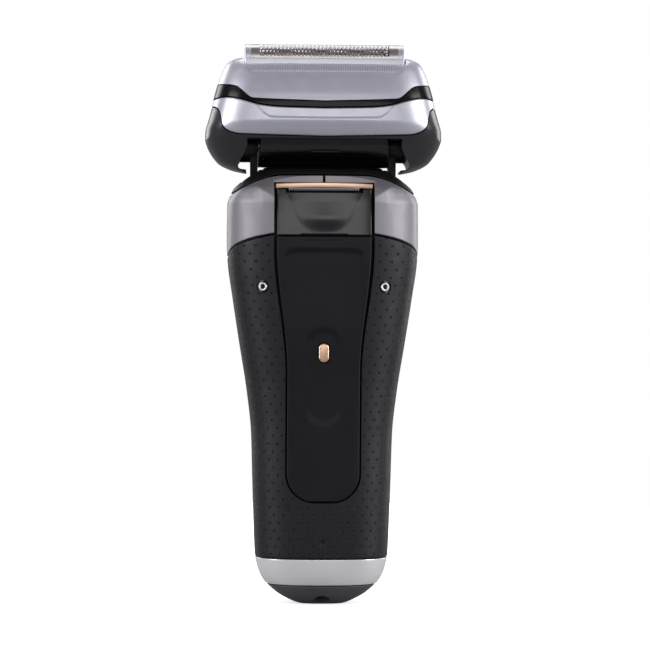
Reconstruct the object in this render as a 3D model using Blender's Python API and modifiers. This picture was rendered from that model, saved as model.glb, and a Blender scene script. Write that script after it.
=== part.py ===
"""Foil shaver with a slide-up trimmer, a swivelling head and a lift-off foil cassette.

Units are metres in the scene. The dimensions below are in millimetres and pass through MM.
The shaver stands upright: +Z runs from the base to the foils, X is its width, and the
long-hair trimmer is on the rear, which faces -Y. The power button is on the front, +Y.
"""
import math

import bmesh
import bpy
import numpy as np
from mathutils import Matrix, Vector

MM = 0.001
GAP = 0.3            # clearance between neighbouring pieces
REAR, FRONT = -1, 1  # sign of Y on each face
SIDES = (("left", -1), ("right", 1))
FACES = (("rear", REAR), ("front", FRONT))

# Body outline: height, half width and half depth of the handle at each station.
BODY_STATIONS = (
    (0.0, 6.8, 5.0), (0.5, 8.2, 6.1), (1.3, 10.0, 7.4), (2.9, 12.8, 9.4), (4.7, 15.0, 11.0),
    (6.5, 16.8, 12.2), (8.5, 18.0, 13.0), (11.0, 18.9, 13.6), (14.0, 19.5, 14.0),
    (22.0, 19.9, 14.1), (37.0, 20.4, 14.2), (50.0, 20.8, 14.4), (62.0, 22.1, 14.7),
    (77.0, 24.5, 15.4), (90.0, 26.5, 16.0), (100.0, 27.9, 16.4), (106.0, 28.2, 16.5),
    (117.0, 28.1, 16.4), (119.5, 27.3, 15.7), (121.5, 26.3, 14.7), (123.0, 24.8, 13.5),
    (124.5, 23.1, 12.2), (126.0, 21.0, 10.6), (127.2, 19.2, 9.0),
)
BODY_ROUNDNESS = 2.5
BODY_TOP = 127.2

# Head outline, from the tips of the ears to the top of the cassette.
HEAD_STATIONS = (
    (126.2, 23.6, 5.5), (127.2, 27.2, 7.6), (128.9, 30.6, 9.8), (130.4, 32.0, 11.4),
    (132.0, 33.1, 13.0), (134.0, 34.1, 15.0), (136.2, 34.7, 17.0), (138.5, 34.6, 18.4),
    (141.0, 33.9, 19.2), (145.0, 32.8, 19.2), (148.0, 32.2, 18.8), (151.0, 31.4, 18.0),
    (154.0, 30.4, 17.0), (156.5, 29.4, 16.0), (158.2, 28.3, 15.0), (159.5, 26.6, 14.0),
)
HEAD_ROUNDNESS = 3.6

# Heights where one handle piece meets the next.
BASE_SEAM = 5.8
BAND_TOP = 13.7
SHELL_WALL = 3.0
COLLAR_WALL = 2.4
RIM_WALL = 1.6

# Rear tongue: the slide-up trimmer and its channel.
TONGUE_BOTTOM = 30.4
TONGUE_CORNER = 8.0
TONGUE_LOW_HALF = 10.6
TONGUE_HIGH_HALF = 13.7
TONGUE_NECK = (68.0, 104.0)   # the sides lean outwards between these heights
TONGUE_GROOVE = 0.9
SLIDE_WALL = 2.4
COVER_SEAM = 107.5
COVER_TOP = 119.9
COMB_TOP = 122.9
TRIMMER_BUTTON_HEIGHT = 73.6

# Front face: panel, power button and display.
PANEL_HALF = 10.5
PANEL_BOTTOM, PANEL_TOP = 24.0, 104.0
POWER_HEIGHT = 88.0
POWER_RADIUS = 6.6
BEZEL_WIDTH = 1.2
WINDOW_HALF = 6.5
WINDOW_BOTTOM, WINDOW_TOP = 34.0, 62.0
LOCK_HEIGHT = 115.5

# Dock contacts on the rear shoulders.
CONTACT_X = 17.8
CONTACT_HEIGHT = 92.8
CONTACT_RADIUS = 1.35

# Head swivel.
PIVOT_HEIGHT = 134.0
ARM_INNER, ARM_OUTER = 19.2, 21.4
BOSS_RADIUS = 4.5
BOSS_REACH = 24.3
PIN_RADIUS = 1.2
HOUSING_HALF = 18.7

# Cassette and shaving elements.
DECK_HEIGHT = 157.3
FOIL_OFFSET = 7.6
FOIL_RADIUS = 4.0
FOIL_CENTRE = 159.5
FOIL_HALF = 19.2
FOIL_FRAME_HALF = 23.2
FOIL_FRAME_DEPTH = 4.6
CUTTER_RADIUS = 3.3
DRIVE_PIN_TOP = 152.5

parts = None
cutters = None


# ---------------------------------------------------------------- scene and materials

def clear_scene():
    for item in list(bpy.data.objects):
        bpy.data.objects.remove(item, do_unlink=True)


def new_collection(name):
    group = bpy.data.collections.new(name)
    bpy.context.scene.collection.children.link(group)
    return group


def material(name, colour, roughness, metallic=0.0):
    """One Principled material with its base colour, roughness and metallic value."""
    found = bpy.data.materials.get(name)
    if found:
        return found
    made = bpy.data.materials.new(name)
    made.use_nodes = True
    shader = made.node_tree.nodes["Principled BSDF"]
    shader.inputs["Base Color"].default_value = (*colour, 1.0)
    shader.inputs["Roughness"].default_value = roughness
    shader.inputs["Metallic"].default_value = metallic
    return made


def finish_of(name):
    finishes = {
        "rubber": ((0.022, 0.022, 0.024), 0.62, 0.0),
        "black_gloss": ((0.008, 0.008, 0.009), 0.12, 0.0),
        "black_matte": ((0.018, 0.018, 0.020), 0.45, 0.0),
        "graphite": ((0.22, 0.21, 0.21), 0.33, 0.85),
        "silver": ((0.62, 0.63, 0.65), 0.30, 0.85),
        "chrome": ((0.75, 0.76, 0.78), 0.10, 1.0),
        "gold": ((0.76, 0.52, 0.27), 0.25, 1.0),
        "steel": ((0.60, 0.60, 0.61), 0.28, 1.0),
        "grey_plastic": ((0.09, 0.09, 0.10), 0.5, 0.0),
        "copper": ((0.72, 0.35, 0.18), 0.35, 1.0),
        "board": ((0.03, 0.16, 0.08), 0.5, 0.0),
        "cell": ((0.08, 0.14, 0.30), 0.4, 0.0),
    }
    colour, roughness, metallic = finishes[name]
    return material(name, colour, roughness, metallic)


# ---------------------------------------------------------------- mesh helpers

def as_object(mesh_builder, name, finish=None):
    """Turn a bmesh in millimetres into an object in metres; without a finish it is a cutter."""
    bmesh.ops.recalc_face_normals(mesh_builder, faces=mesh_builder.faces)
    bmesh.ops.scale(mesh_builder, vec=(MM, MM, MM), verts=mesh_builder.verts)
    mesh = bpy.data.meshes.new(name)
    mesh_builder.to_mesh(mesh)
    mesh_builder.free()
    made = bpy.data.objects.new(name, mesh)
    if finish is None:
        cutters.objects.link(made)
        made.hide_render = True
        made.display_type = "WIRE"
    else:
        parts.objects.link(made)
        mesh.materials.append(finish_of(finish))
        mesh.shade_smooth()
        mesh.set_sharp_from_angle(angle=math.radians(35))
    return made


def boolean(target, tool, operation="DIFFERENCE"):
    step = target.modifiers.new(tool.name, "BOOLEAN")
    step.operation = operation
    step.solver = "EXACT"
    step.object = tool
    return target


def bevel(target, width, segments=2, angle=40):
    step = target.modifiers.new("edges", "BEVEL")
    step.width = width * MM
    step.segments = segments
    step.limit_method = "ANGLE"
    step.angle_limit = math.radians(angle)
    return target


def box(name, low, high, finish=None):
    builder = bmesh.new()
    bmesh.ops.create_cube(builder, size=1.0)
    size = Vector(high) - Vector(low)
    middle = (Vector(high) + Vector(low)) / 2
    bmesh.ops.scale(builder, vec=size, verts=builder.verts)
    bmesh.ops.translate(builder, vec=middle, verts=builder.verts)
    return as_object(builder, name, finish)


def rod(name, radius, start, end, finish=None, segments=20):
    """A cylinder of the given radius between two points."""
    builder = bmesh.new()
    start, end = Vector(start), Vector(end)
    run = end - start
    bmesh.ops.create_cone(builder, cap_ends=True, segments=segments, radius1=radius,
                          radius2=radius, depth=run.length)
    turn = Vector((0, 0, 1)).rotation_difference(run).to_matrix().to_4x4()
    bmesh.ops.transform(builder, matrix=Matrix.Translation((start + end) / 2) @ turn,
                        verts=builder.verts)
    return as_object(builder, name, finish)


def prism(name, outline, near, far, along="Y", finish=None):
    """A flat outline pushed along Y (outline in X, Z) or along X (outline in Y, Z)."""
    builder = bmesh.new()
    place = (lambda a, b: (a, near, b)) if along == "Y" else (lambda a, b: (near, a, b))
    corners = [builder.verts.new(place(a, b)) for a, b in outline]
    face = builder.faces.new(corners)
    pushed = bmesh.ops.extrude_face_region(builder, geom=[face])
    moved = [item for item in pushed["geom"] if isinstance(item, bmesh.types.BMVert)]
    push = Vector((0, far - near, 0)) if along == "Y" else Vector((far - near, 0, 0))
    bmesh.ops.translate(builder, vec=push, verts=moved)
    return as_object(builder, name, finish)


def arc(centre, radius, start, end, steps):
    """Points on a circular arc, angles in degrees."""
    angles = np.radians(np.linspace(start, end, steps + 1))
    return [(centre[0] + radius * math.cos(a), centre[1] + radius * math.sin(a)) for a in angles]


def mirrored(half):
    """Close an outline that was given on +X by repeating it on -X in reverse."""
    return list(half) + [(-x, z) for x, z in reversed(half) if abs(x) > 1e-6]


def stadium(centre, half_width, half_height, steps=6):
    """An upright slot outline with round ends."""
    x, z = centre
    straight = half_height - half_width
    top = arc((x, z + straight), half_width, 0, 180, 2 * steps)
    bottom = arc((x, z - straight), half_width, 180, 360, 2 * steps)
    return top + bottom


# ---------------------------------------------------------------- lofted forms

def batten(heights, values, height):
    """A smooth curve through the stations that never overshoots them."""
    slopes = np.diff(values) / np.diff(heights)
    tangents = np.empty(len(values))
    tangents[0], tangents[-1] = slopes[0], slopes[-1]
    for index in range(1, len(values) - 1):
        before, after = slopes[index - 1], slopes[index]
        tangents[index] = 2 * before * after / (before + after) if before * after > 0 else 0.0
    index = int(np.clip(np.searchsorted(heights, height) - 1, 0, len(values) - 2))
    span = heights[index + 1] - heights[index]
    t = min(max((height - heights[index]) / span, 0.0), 1.0)
    return ((1 + 2 * t) * (1 - t) ** 2 * values[index] + t * (1 - t) ** 2 * span * tangents[index]
            + t * t * (3 - 2 * t) * values[index + 1] + t * t * (t - 1) * span * tangents[index + 1])


class Form:
    """A stack of superellipses: half width and half depth vary with height."""

    def __init__(self, stations, roundness, columns):
        self.heights, self.widths, self.depths = (np.array(row) for row in zip(*stations))
        self.power = 2 / roundness
        self.columns = columns

    def half_width(self, height):
        return batten(self.heights, self.widths, height)

    def half_depth(self, height):
        return batten(self.heights, self.depths, height)

    def point(self, height, angle, inset=0.0):
        across, along = math.cos(angle), math.sin(angle)
        x = (self.half_width(height) - inset) * math.copysign(abs(across) ** self.power, across)
        y = (self.half_depth(height) - inset) * math.copysign(abs(along) ** self.power, along)
        return x, y, height

    def angles(self):
        return [2 * math.pi * column / self.columns for column in range(self.columns)]

    def reach(self, angle):
        """How far out in X a column lies, from 0 in the middle to 1 at the side."""
        return abs(math.cos(angle)) ** self.power


def skin_between(builder, rings):
    """Quads between neighbouring rings of equal length."""
    for lower, upper in zip(rings, rings[1:]):
        for index, corner in enumerate(lower):
            following = (index + 1) % len(lower)
            builder.faces.new((corner, lower[following], upper[following], upper[index]))


def loft(form, name, bottom, top, rows, inset=0.0, finish=None):
    """A closed solid that follows the form between two heights."""
    builder = bmesh.new()
    rings = [[builder.verts.new(form.point(height, angle, inset)) for angle in form.angles()]
             for height in np.linspace(bottom, top, rows)]
    skin_between(builder, rings)
    builder.faces.new(rings[0])
    builder.faces.new(rings[-1])
    return as_object(builder, name, finish)


def band(form, name, low, high, rows, wall, finish=None, inset=0.0):
    """A shell that follows the form between two edges, each a function of the reach."""
    builder = bmesh.new()

    def ring_at(step, depth):
        ring = []
        for angle in form.angles():
            reach = form.reach(angle)
            height = low(reach) + (high(reach) - low(reach)) * step
            ring.append(builder.verts.new(form.point(height, angle, depth)))
        return ring

    steps = np.linspace(0.0, 1.0, rows)
    outer = [ring_at(step, inset) for step in steps]
    inner = [ring_at(step, inset + wall) for step in steps[::-1]]
    skin_between(builder, outer + inner + outer[:1])
    return as_object(builder, name, finish)


def level(height):
    return lambda reach: height


def edge(points, shift=0.0):
    """An edge whose height varies with the reach, through the points given."""
    reaches, heights = zip(*points)
    return lambda reach: float(np.interp(reach, reaches, heights)) + shift


def turned(name, profile, base, toward, finish=None, segments=24):
    """A closed profile (radius, height) spun about the axis that starts at base."""
    builder = bmesh.new()
    corners = [builder.verts.new((radius, 0, height)) for radius, height in profile]
    edges = [builder.edges.new(pair) for pair in zip(corners, corners[1:])]
    if profile[0][0] > 0:
        edges.append(builder.edges.new((corners[-1], corners[0])))
    bmesh.ops.spin(builder, geom=corners + edges, cent=(0, 0, 0), axis=(0, 0, 1),
                   angle=2 * math.pi, steps=segments, use_merge=True)
    bmesh.ops.remove_doubles(builder, verts=builder.verts, dist=1e-4)
    turn = Vector((0, 0, 1)).rotation_difference(Vector(toward)).to_matrix().to_4x4()
    bmesh.ops.transform(builder, matrix=Matrix.Translation(Vector(base)) @ turn,
                        verts=builder.verts)
    return as_object(builder, name, finish)


BODY = Form(BODY_STATIONS, BODY_ROUNDNESS, 32)
HEAD = Form(HEAD_STATIONS, HEAD_ROUNDNESS, 36)

GRIP_EDGE = ((0.0, 108.0), (0.5, 107.7), (0.64, 107.1), (0.76, 106.3), (0.9, 104.8), (0.95, 103.8),
             (0.98, 102.6), (1.0, 101.2))
RIM_EDGE = ((0.0, 125.1), (0.55, 125.1), (0.68, 124.7), (0.8, 123.6), (0.9, 121.6), (1.0, 119.6))
RIM_LINE = tuple((reach * BODY.half_width(height), height) for reach, height in RIM_EDGE)
TRIM_LOW = ((0.0, 136.3), (0.71, 137.0), (0.79, 137.6), (0.86, 139.2), (0.9, 142.2), (0.93, 144.0),
            (1.0, 145.4))
TRIM_HIGH = ((0.0, 144.2), (0.4, 144.5), (0.57, 145.1), (0.8, 147.1), (0.88, 147.5), (1.0, 147.2))
FRAME_LOW = ((0.0, 146.4), (0.65, 147.2), (0.82, 151.0), (0.905, 151.5), (1.0, 151.8))
TRIM_SPAN, FRAME_SPAN = 32.4, 31.8  # half widths of the head where those edges run


def edge_cutter(name, points, shift, far, stretch=1.0):
    """Everything beyond an edge line, up or down to the height far, across the full depth."""
    half = [(across * stretch, height + shift) for across, height in points]
    outer = half[-1][0] + 8
    half += [(outer, half[-1][1]), (outer, far)]
    outline = half + [(-x, z) for x, z in reversed(half) if x > 0]
    return prism(name, outline, -40, 40)


# ---------------------------------------------------------------- handle

def tongue_outline(grow, top, bottom=TONGUE_BOTTOM):
    """The tongue seen from the rear, grown outwards by a clearance."""
    neck_low, neck_high = TONGUE_NECK
    high, low = TONGUE_HIGH_HALF + grow, TONGUE_LOW_HALF + grow
    half = [(high, top)]
    for t in np.linspace(1.0, 0.0, 6):
        half.append((low + (high - low) * t * t * (3 - 2 * t), neck_low + (neck_high - neck_low) * t))
    corner = TONGUE_CORNER + grow
    half += arc((low - corner, bottom - grow + corner), corner, 0, -90, 5)
    return mirrored(half)


def make_base():
    cap = loft(BODY, "base_cap", 0.0, BASE_SEAM - 0.15, 6, finish="grey_plastic")
    boolean(cap, socket_form("socket_hole", -2, 9, GAP))
    band(BODY, "base_band", level(BASE_SEAM + 0.15), level(BAND_TOP - 0.15), 4, 1.6, "chrome")
    band(BODY, "base_seal", level(11.0), level(13.4), 2, 1.0, "rubber", inset=2.6)


def socket_form(name, bottom, top, grow, finish=None):
    """An upright block with round corners, the outside of the charging socket."""
    stations = ((bottom, 4.7 + grow, 3.1 + grow), (top, 4.7 + grow, 3.1 + grow))
    return loft(Form(stations, 4.0, 24), name, bottom, top, 2, finish=finish)


def make_socket():
    housing = socket_form("socket_housing", 0.8, 15.0, 0.0, "black_matte")
    stations = ((-3.0, 3.6, 2.3), (11.0, 3.6, 2.3))
    boolean(housing, loft(Form(stations, 4.0, 20), "socket_cavity", -3.0, 11.0, 2))
    for side, sign in SIDES:
        boolean(housing, rod(f"socket_pin_hole_{side}", 0.8, (sign * 1.6, 0, 9), (sign * 1.6, 0, 17),
                             segments=12))
        rod(f"socket_pin_{side}", 0.5, (sign * 1.6, 0, 6.5), (sign * 1.6, 0, 16.5), "gold", 12)


def make_grip():
    shell = band(BODY, "grip_shell", level(BAND_TOP + 0.15), edge(GRIP_EDGE), 9, SHELL_WALL,
                 "rubber")
    boolean(shell, prism("tongue_slot", tongue_outline(TONGUE_GROOVE, 123.15), -30, -3))
    boolean(shell, prism("panel_slot", panel_outline(GAP), 3, 30))
    for side, sign in SIDES:
        place, outward = contact_place(sign)
        boolean(shell, rod(f"contact_hole_{side}", CONTACT_RADIUS + GAP, place - 6 * outward,
                           place + 2 * outward))
        rod(f"dock_contact_{side}", CONTACT_RADIUS, place - 2.9 * outward, place + 0.1 * outward,
            "steel", 16)


def contact_place(sign):
    """Where a dock contact meets the rear surface, and the outward direction there."""
    half_width, half_depth = BODY.half_width(CONTACT_HEIGHT), BODY.half_depth(CONTACT_HEIGHT)
    share = (CONTACT_X / half_width) ** BODY_ROUNDNESS
    depth = half_depth * (1 - share) ** (1 / BODY_ROUNDNESS)
    slope_x = share / CONTACT_X
    slope_y = (1 - share) / depth
    outward = Vector((sign * slope_x, -slope_y, 0)).normalized()
    return Vector((sign * CONTACT_X, -depth, CONTACT_HEIGHT)), outward


def panel_outline(grow):
    middle = (PANEL_BOTTOM + PANEL_TOP) / 2
    return stadium((0, middle), PANEL_HALF + grow, (PANEL_TOP - PANEL_BOTTOM) / 2 + grow)


def window_outline(grow):
    corner = 2.0
    right, top = WINDOW_HALF + grow - corner, WINDOW_TOP + grow - corner
    bottom = WINDOW_BOTTOM - grow + corner
    half = arc((right, top), corner, 90, 0, 3) + arc((right, bottom), corner, 0, -90, 3)
    return mirrored(half)


def make_front():
    panel = band(BODY, "front_panel", level(22), level(109), 8, 2.0, "black_gloss")
    boolean(panel, prism("panel_shape", panel_outline(0), 3, 30), "INTERSECT")
    boolean(panel, prism("window_hole", window_outline(GAP), 3, 30))
    opening = POWER_RADIUS + GAP + BEZEL_WIDTH + GAP
    boolean(panel, rod("bezel_hole", opening, (0, 3, POWER_HEIGHT), (0, 30, POWER_HEIGHT)))
    window = band(BODY, "display_window", level(30), level(66), 4, 1.2, "black_gloss")
    boolean(window, prism("window_shape", window_outline(0), 3, 30), "INTERSECT")
    box("display_module", (-6.2, 9.3, WINDOW_BOTTOM + 1), (6.2, 11.6, WINDOW_TOP - 1),
        "grey_plastic")
    inner, outer = POWER_RADIUS + GAP, POWER_RADIUS + GAP + BEZEL_WIDTH
    turned("power_button_bezel", ((inner, 0), (outer, 0), (outer, 2.2), (outer - 0.3, 2.5), (inner, 2.5)),
           (0, 13.4, POWER_HEIGHT), (0, 1, 0), "gold")
    turned("power_button", ((0, 0), (1.5, 0), (1.5, 2.3), (POWER_RADIUS, 2.3), (POWER_RADIUS, 4.2),
                            (POWER_RADIUS - 0.6, 4.7), (0, 4.5)),
           (0, 11.2, POWER_HEIGHT), (0, 1, 0), "black_matte")
    box("tactile_switch", (-2.5, 9.2, POWER_HEIGHT - 2.5), (2.5, 10.4, POWER_HEIGHT + 2.5), "steel")


def make_collar():
    collar = band(BODY, "shoulder_collar", edge(GRIP_EDGE, 2 * GAP), edge(RIM_EDGE), 7, COLLAR_WALL,
                  "graphite")
    boolean(collar, prism("collar_slot", tongue_outline(TONGUE_GROOVE, 123.15), -30, -3))
    boolean(collar, box("trimmer_path", (-14.8, -30, 122.5), (14.8, -11.5, 132)))
    boolean(collar, box("lock_slot", (-5.6, 10, LOCK_HEIGHT - 2.2), (5.6, 25, LOCK_HEIGHT + 2.2)))
    rim = loft(BODY, "neck_collar", 118.5, BODY_TOP, 7, finish="black_matte")
    boolean(rim, loft(BODY, "rim_hollow", 110.0, 125.9, 7, inset=RIM_WALL))
    mouth = Form(((120.0, 18.3, 8.1), (130.0, 18.3, 8.1)), BODY_ROUNDNESS, 24)
    boolean(rim, loft(mouth, "neck_mouth", 120.0, 130.0, 2))
    boolean(rim, edge_cutter("below_rim", RIM_LINE, 2 * GAP, 100))
    for side, sign in SIDES:
        near, far = sorted((sign * (ARM_INNER - GAP), sign * 30))
        boolean(rim, box(f"arm_slot_{side}", (near, -3.8, 123.4), (far, 3.8, 130)))
    knob = box("head_lock_switch", (-5.2, 13.0, LOCK_HEIGHT - 1.8), (1.2, 17.0, LOCK_HEIGHT + 1.8),
               "black_matte")
    bevel(knob, 0.5, 1)
    flange = box("lock_flange", (-7.4, 12.2, LOCK_HEIGHT - 2.8), (3.4, 13.3, LOCK_HEIGHT + 2.6))
    boolean(knob, flange, "UNION")


def make_neck():
    seal_stations = ((124.9, 17.8, 7.4), (127.2, 17.8, 7.4), (127.7, 17.6, 6.4), (127.85, 17.4, 5.6))
    seal = Form(seal_stations, BODY_ROUNDNESS, 24)
    loft(seal, "neck_gasket", 124.9, 127.85, 5, finish="rubber")
    plate = Form(((121.0, ARM_OUTER, 6.4), (123.0, ARM_OUTER, 6.4)), BODY_ROUNDNESS, 24)
    yoke = loft(plate, "pivot_yoke", 121.0, 123.0, 2, finish="black_matte")
    for side, sign in SIDES:
        near, far = sorted((sign * ARM_INNER, sign * ARM_OUTER))
        boolean(yoke, box(f"arm_{side}", (near, -3.0, 122.0), (far, 3.0, PIVOT_HEIGHT)), "UNION")
        boolean(yoke, rod(f"boss_{side}", BOSS_RADIUS, (sign * (ARM_INNER + 0.05), 0, PIVOT_HEIGHT),
                          (sign * BOSS_REACH, 0, PIVOT_HEIGHT)), "UNION")
        boolean(yoke, rod(f"pin_hole_{side}", PIN_RADIUS + GAP, (sign * 18, 0, PIVOT_HEIGHT),
                          (sign * 26, 0, PIVOT_HEIGHT)))
        rod(f"pivot_pin_{side}", PIN_RADIUS, (sign * 16.4, 0, PIVOT_HEIGHT),
            (sign * (BOSS_REACH - 0.4), 0, PIVOT_HEIGHT), "steel")
    chassis = bpy.data.objects["chassis"]
    for number, (x, y) in enumerate(((-9, -4.5), (9, -4.5), (-9, 4.5), (9, 4.5)), 1):
        hole = rod(f"screw_hole_{number}", 1.3, (x, y, 117), (x, y, 125), segments=12)
        boolean(yoke, hole)
        boolean(chassis, hole)
        turned(f"yoke_screw_{number}", ((0, 0), (1.0, 0), (1.0, 5.3), (1.9, 5.3), (1.9, 6.3), (0, 6.3)),
               (x, y, 118.0), (0, 0, 1), "steel", 12)


def make_inside():
    tray = box("chassis", (-11.2, -7.2, 18.0), (11.2, 6.5, 120.5), "grey_plastic")
    boolean(tray, box("tray_hollow", (-10.0, -6.0, 19.5), (10.0, 9.0, 119.0)))
    rod("battery_cell", 6.5, (0, 0.8, 21), (0, 0.8, 73), "cell")
    box("circuit_board", (-9.5, 7.7, 24.0), (9.5, 8.9, 110.0), "board")


def make_trimmer():
    bed = band(BODY, "trimmer_bed", level(27.5), level(122.0), 9, 1.3, "black_matte", inset=3.3)
    boolean(bed, prism("bed_shape", tongue_outline(1.6, 121.6), -30, -3), "INTERSECT")
    slide = band(BODY, "trimmer_slide", level(28.0), level(110.0), 9, SLIDE_WALL, "black_matte")
    boolean(slide, prism("slide_shape", tongue_outline(0, COVER_SEAM - 0.15), -30, -3), "INTERSECT")
    button_spot = (0, TRIMMER_BUTTON_HEIGHT)
    boolean(slide, prism("button_hole", stadium(button_spot, 1.8, 3.1), -30, -3))
    prism("trimmer_button", stadium(button_spot, 1.5, 2.8), -15.5, -13.4, finish="gold")
    cover = band(BODY, "trimmer_cover", level(105.0), level(123.0), 7, SLIDE_WALL, "black_gloss")
    horn, inner = TONGUE_HIGH_HALF, 11.3
    half = [(inner, COVER_TOP), (inner + 0.2, COMB_TOP - 1.75), (horn, COMB_TOP - 1.75),
            (horn, COVER_SEAM + 0.15)]
    boolean(cover, prism("cover_shape", mirrored(half), -30, -11.85), "INTERSECT")
    comb = band(BODY, "trimmer_comb", level(120.0), level(124.0), 5, SLIDE_WALL, "gold", inset=-0.4)
    bow = [(14.3, COMB_TOP - 0.35), (14.3, COMB_TOP - 1.45)]
    bow = [(7.0, COMB_TOP - 0.1)] + bow + [(7.0, COMB_TOP - 1.4)]
    boolean(comb, prism("comb_shape", mirrored(bow), -30, -11.85), "INTERSECT")
    prism("trimmer_blade", tooth_row(10.4, COVER_TOP + 0.3, 0.45, COMB_TOP - 1.75, 20), -13.6, -12.5,
          finish="steel")


def tooth_row(half_width, bottom, gullet, top, teeth):
    """A toothed strip: a plain lower edge and evenly spaced teeth along its top."""
    pitch = 2 * half_width / teeth
    outline = [(-half_width, bottom), (half_width, bottom)]
    for index in range(teeth):
        right = half_width - index * pitch
        outline += [(right, top), (right - 0.5 * pitch, top),
                    (right - 0.5 * pitch, bottom + gullet), (right - pitch, bottom + gullet)]
    return outline[:-1] + [(-half_width, bottom + gullet)]


# ---------------------------------------------------------------- head

def ear_gap_outline():
    """The open space between the two ears, seen from the rear."""
    half = [(22.5, 135.7), (22.5, 133.3), (23.6, 131.2), (24.8, 129.3), (25.1, 128.1),
            (24.4, 127.3), (22.6, 127.1), (22.4, 120.0)]
    return mirrored(half)


def make_carrier():
    carrier = loft(HEAD, "head_carrier", 126.2, 148.2, 12, finish="black_gloss")
    boolean(carrier, edge_cutter("carrier_top", TRIM_HIGH, -GAP, 160, TRIM_SPAN))
    boolean(carrier, prism("ear_gap", ear_gap_outline(), -40, 40))
    boolean(carrier, loft(HEAD, "carrier_hollow", 137.4, 152.0, 5, inset=2.5))
    boolean(carrier, box("housing_opening", (-19.1, -11.9, 130), (19.1, 11.9, 140)))
    recess = band(HEAD, "trim_recess", edge(TRIM_LOW, -GAP), level(150.0), 6, 2.1, inset=-0.5)
    boolean(carrier, recess)
    band(HEAD, "head_trim", edge(TRIM_LOW), edge(TRIM_HIGH), 4, 1.0, "silver")
    for side, sign in SIDES:
        near, far = sorted((sign * (ARM_INNER - GAP), sign * (BOSS_REACH + 0.35)))
        boolean(carrier, rod(f"ear_pocket_{side}", 5.1, (near, 0, PIVOT_HEIGHT), (far, 0, PIVOT_HEIGHT)))
        near, far = sorted((sign * 30, sign * 38))
        boolean(carrier, box(f"release_window_{side}", (near, -6.0, 138.6), (far, 6.0, 142.9)))
        button = band(HEAD, f"release_button_{side}", level(138.0), level(143.5), 3, 1.5,
                      "black_matte")
        shape = box(f"release_shape_{side}", (near, -5.7, 138.9), (far, 5.7, 142.6))
        boolean(button, shape, "INTERSECT")


def housing_outline():
    """Half section of the motor housing, measured from the pivot axis."""
    wall = [(11.5, 8.3), (11.5, 1.0), (11.0, -0.9), (9.3, -2.5), (6.9, -3.7)]
    belly = arc((0, 0), 6.0, -45, -90, 4)
    return [(y, z + PIVOT_HEIGHT) for y, z in mirrored(wall + belly)]


def make_drive():
    housing = prism("motor_housing", housing_outline(), -HOUSING_HALF, HOUSING_HALF, "X",
                    "black_gloss")
    boolean(housing, box("motor_bay", (-17.2, -9.6, 132.6), (17.2, 9.6, 150)))
    for side, sign in SIDES:
        boolean(housing, rod(f"bush_hole_{side}", 2.9, (sign * 16, 0, PIVOT_HEIGHT),
                             (sign * 20, 0, PIVOT_HEIGHT)))
        turned(f"pivot_bush_{side}", ((PIN_RADIUS + GAP, 0), (2.6, 0), (2.6, 1.6), (PIN_RADIUS + GAP, 1.6)),
               (sign * 17.0, 0, PIVOT_HEIGHT), (sign, 0, 0), "grey_plastic", 20)
    core = box("motor_core", (-10, -8.6, 132.9), (10, 8.6, 134.4), "steel")
    boolean(core, box("core_post", (-3, -4, 134.0), (3, 4, 137.6)), "UNION")
    coil = box("motor_coil", (-6.5, -7.5, 134.8), (6.5, 7.5, 137.4), "copper")
    boolean(coil, box("coil_hole", (-3.4, -4.4, 130), (3.4, 4.4, 140)))
    armature = box("motor_armature", (-12, -8.8, 138.3), (12, 8.8, 140.2), "steel")
    for y, radius in ((-FOIL_OFFSET, 0.8), (FOIL_OFFSET, 0.8), (-0.3, 0.55)):
        pin = rod("drive_pin", radius, (0, y, 139.0), (0, y, DRIVE_PIN_TOP), segments=10)
        boolean(armature, pin, "UNION")
    lid = box("drive_cover", (-18.6, -11.4, 142.6), (18.6, 11.4, 143.6), "rubber")
    boolean(lid, box("drive_slot", (-2.4, -9.2, 140), (2.4, 9.2, 146)))


def make_cassette():
    seat = edge_cutter("frame_seat", FRAME_LOW, -GAP, 165, FRAME_SPAN)
    boolean(seat, loft(HEAD, "seat_core", 143.0, 158.0, 7, inset=1.8))
    base = loft(HEAD, "cassette_base", 144.0, 152.8, 6, finish="black_gloss")
    boolean(base, edge_cutter("base_underside", TRIM_HIGH, 1.3 * GAP, 130, TRIM_SPAN))
    boolean(base, seat)
    boolean(base, box("base_hollow", (-24.2, -12.9, 149.3), (24.2, 12.9, 156.0)))
    boolean(base, box("drive_opening", (-15, -11, 140), (15, 11, 152)))
    frame = loft(HEAD, "cassette_frame", 145.5, 159.5, 9, finish="silver")
    boolean(frame, edge_cutter("frame_underside", FRAME_LOW, 0.0, 130, FRAME_SPAN))
    boolean(frame, loft(HEAD, "frame_hollow", 140.0, 155.3, 8, inset=1.5))
    boolean(frame, box("foil_opening", (-23.6, -12.6, 140), (23.6, 12.6, 170)))
    boolean(frame, box("deck_cut", (-23.4, -30, DECK_HEIGHT), (23.4, 30, 170)))


def arch_outline(centre, radius, bottom, steps=10):
    """A round-topped outline in Y, Z."""
    return ([(centre + radius, bottom)] + arc((centre, FOIL_CENTRE), radius, 0, 180, steps)
            + [(centre - radius, bottom)])


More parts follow.
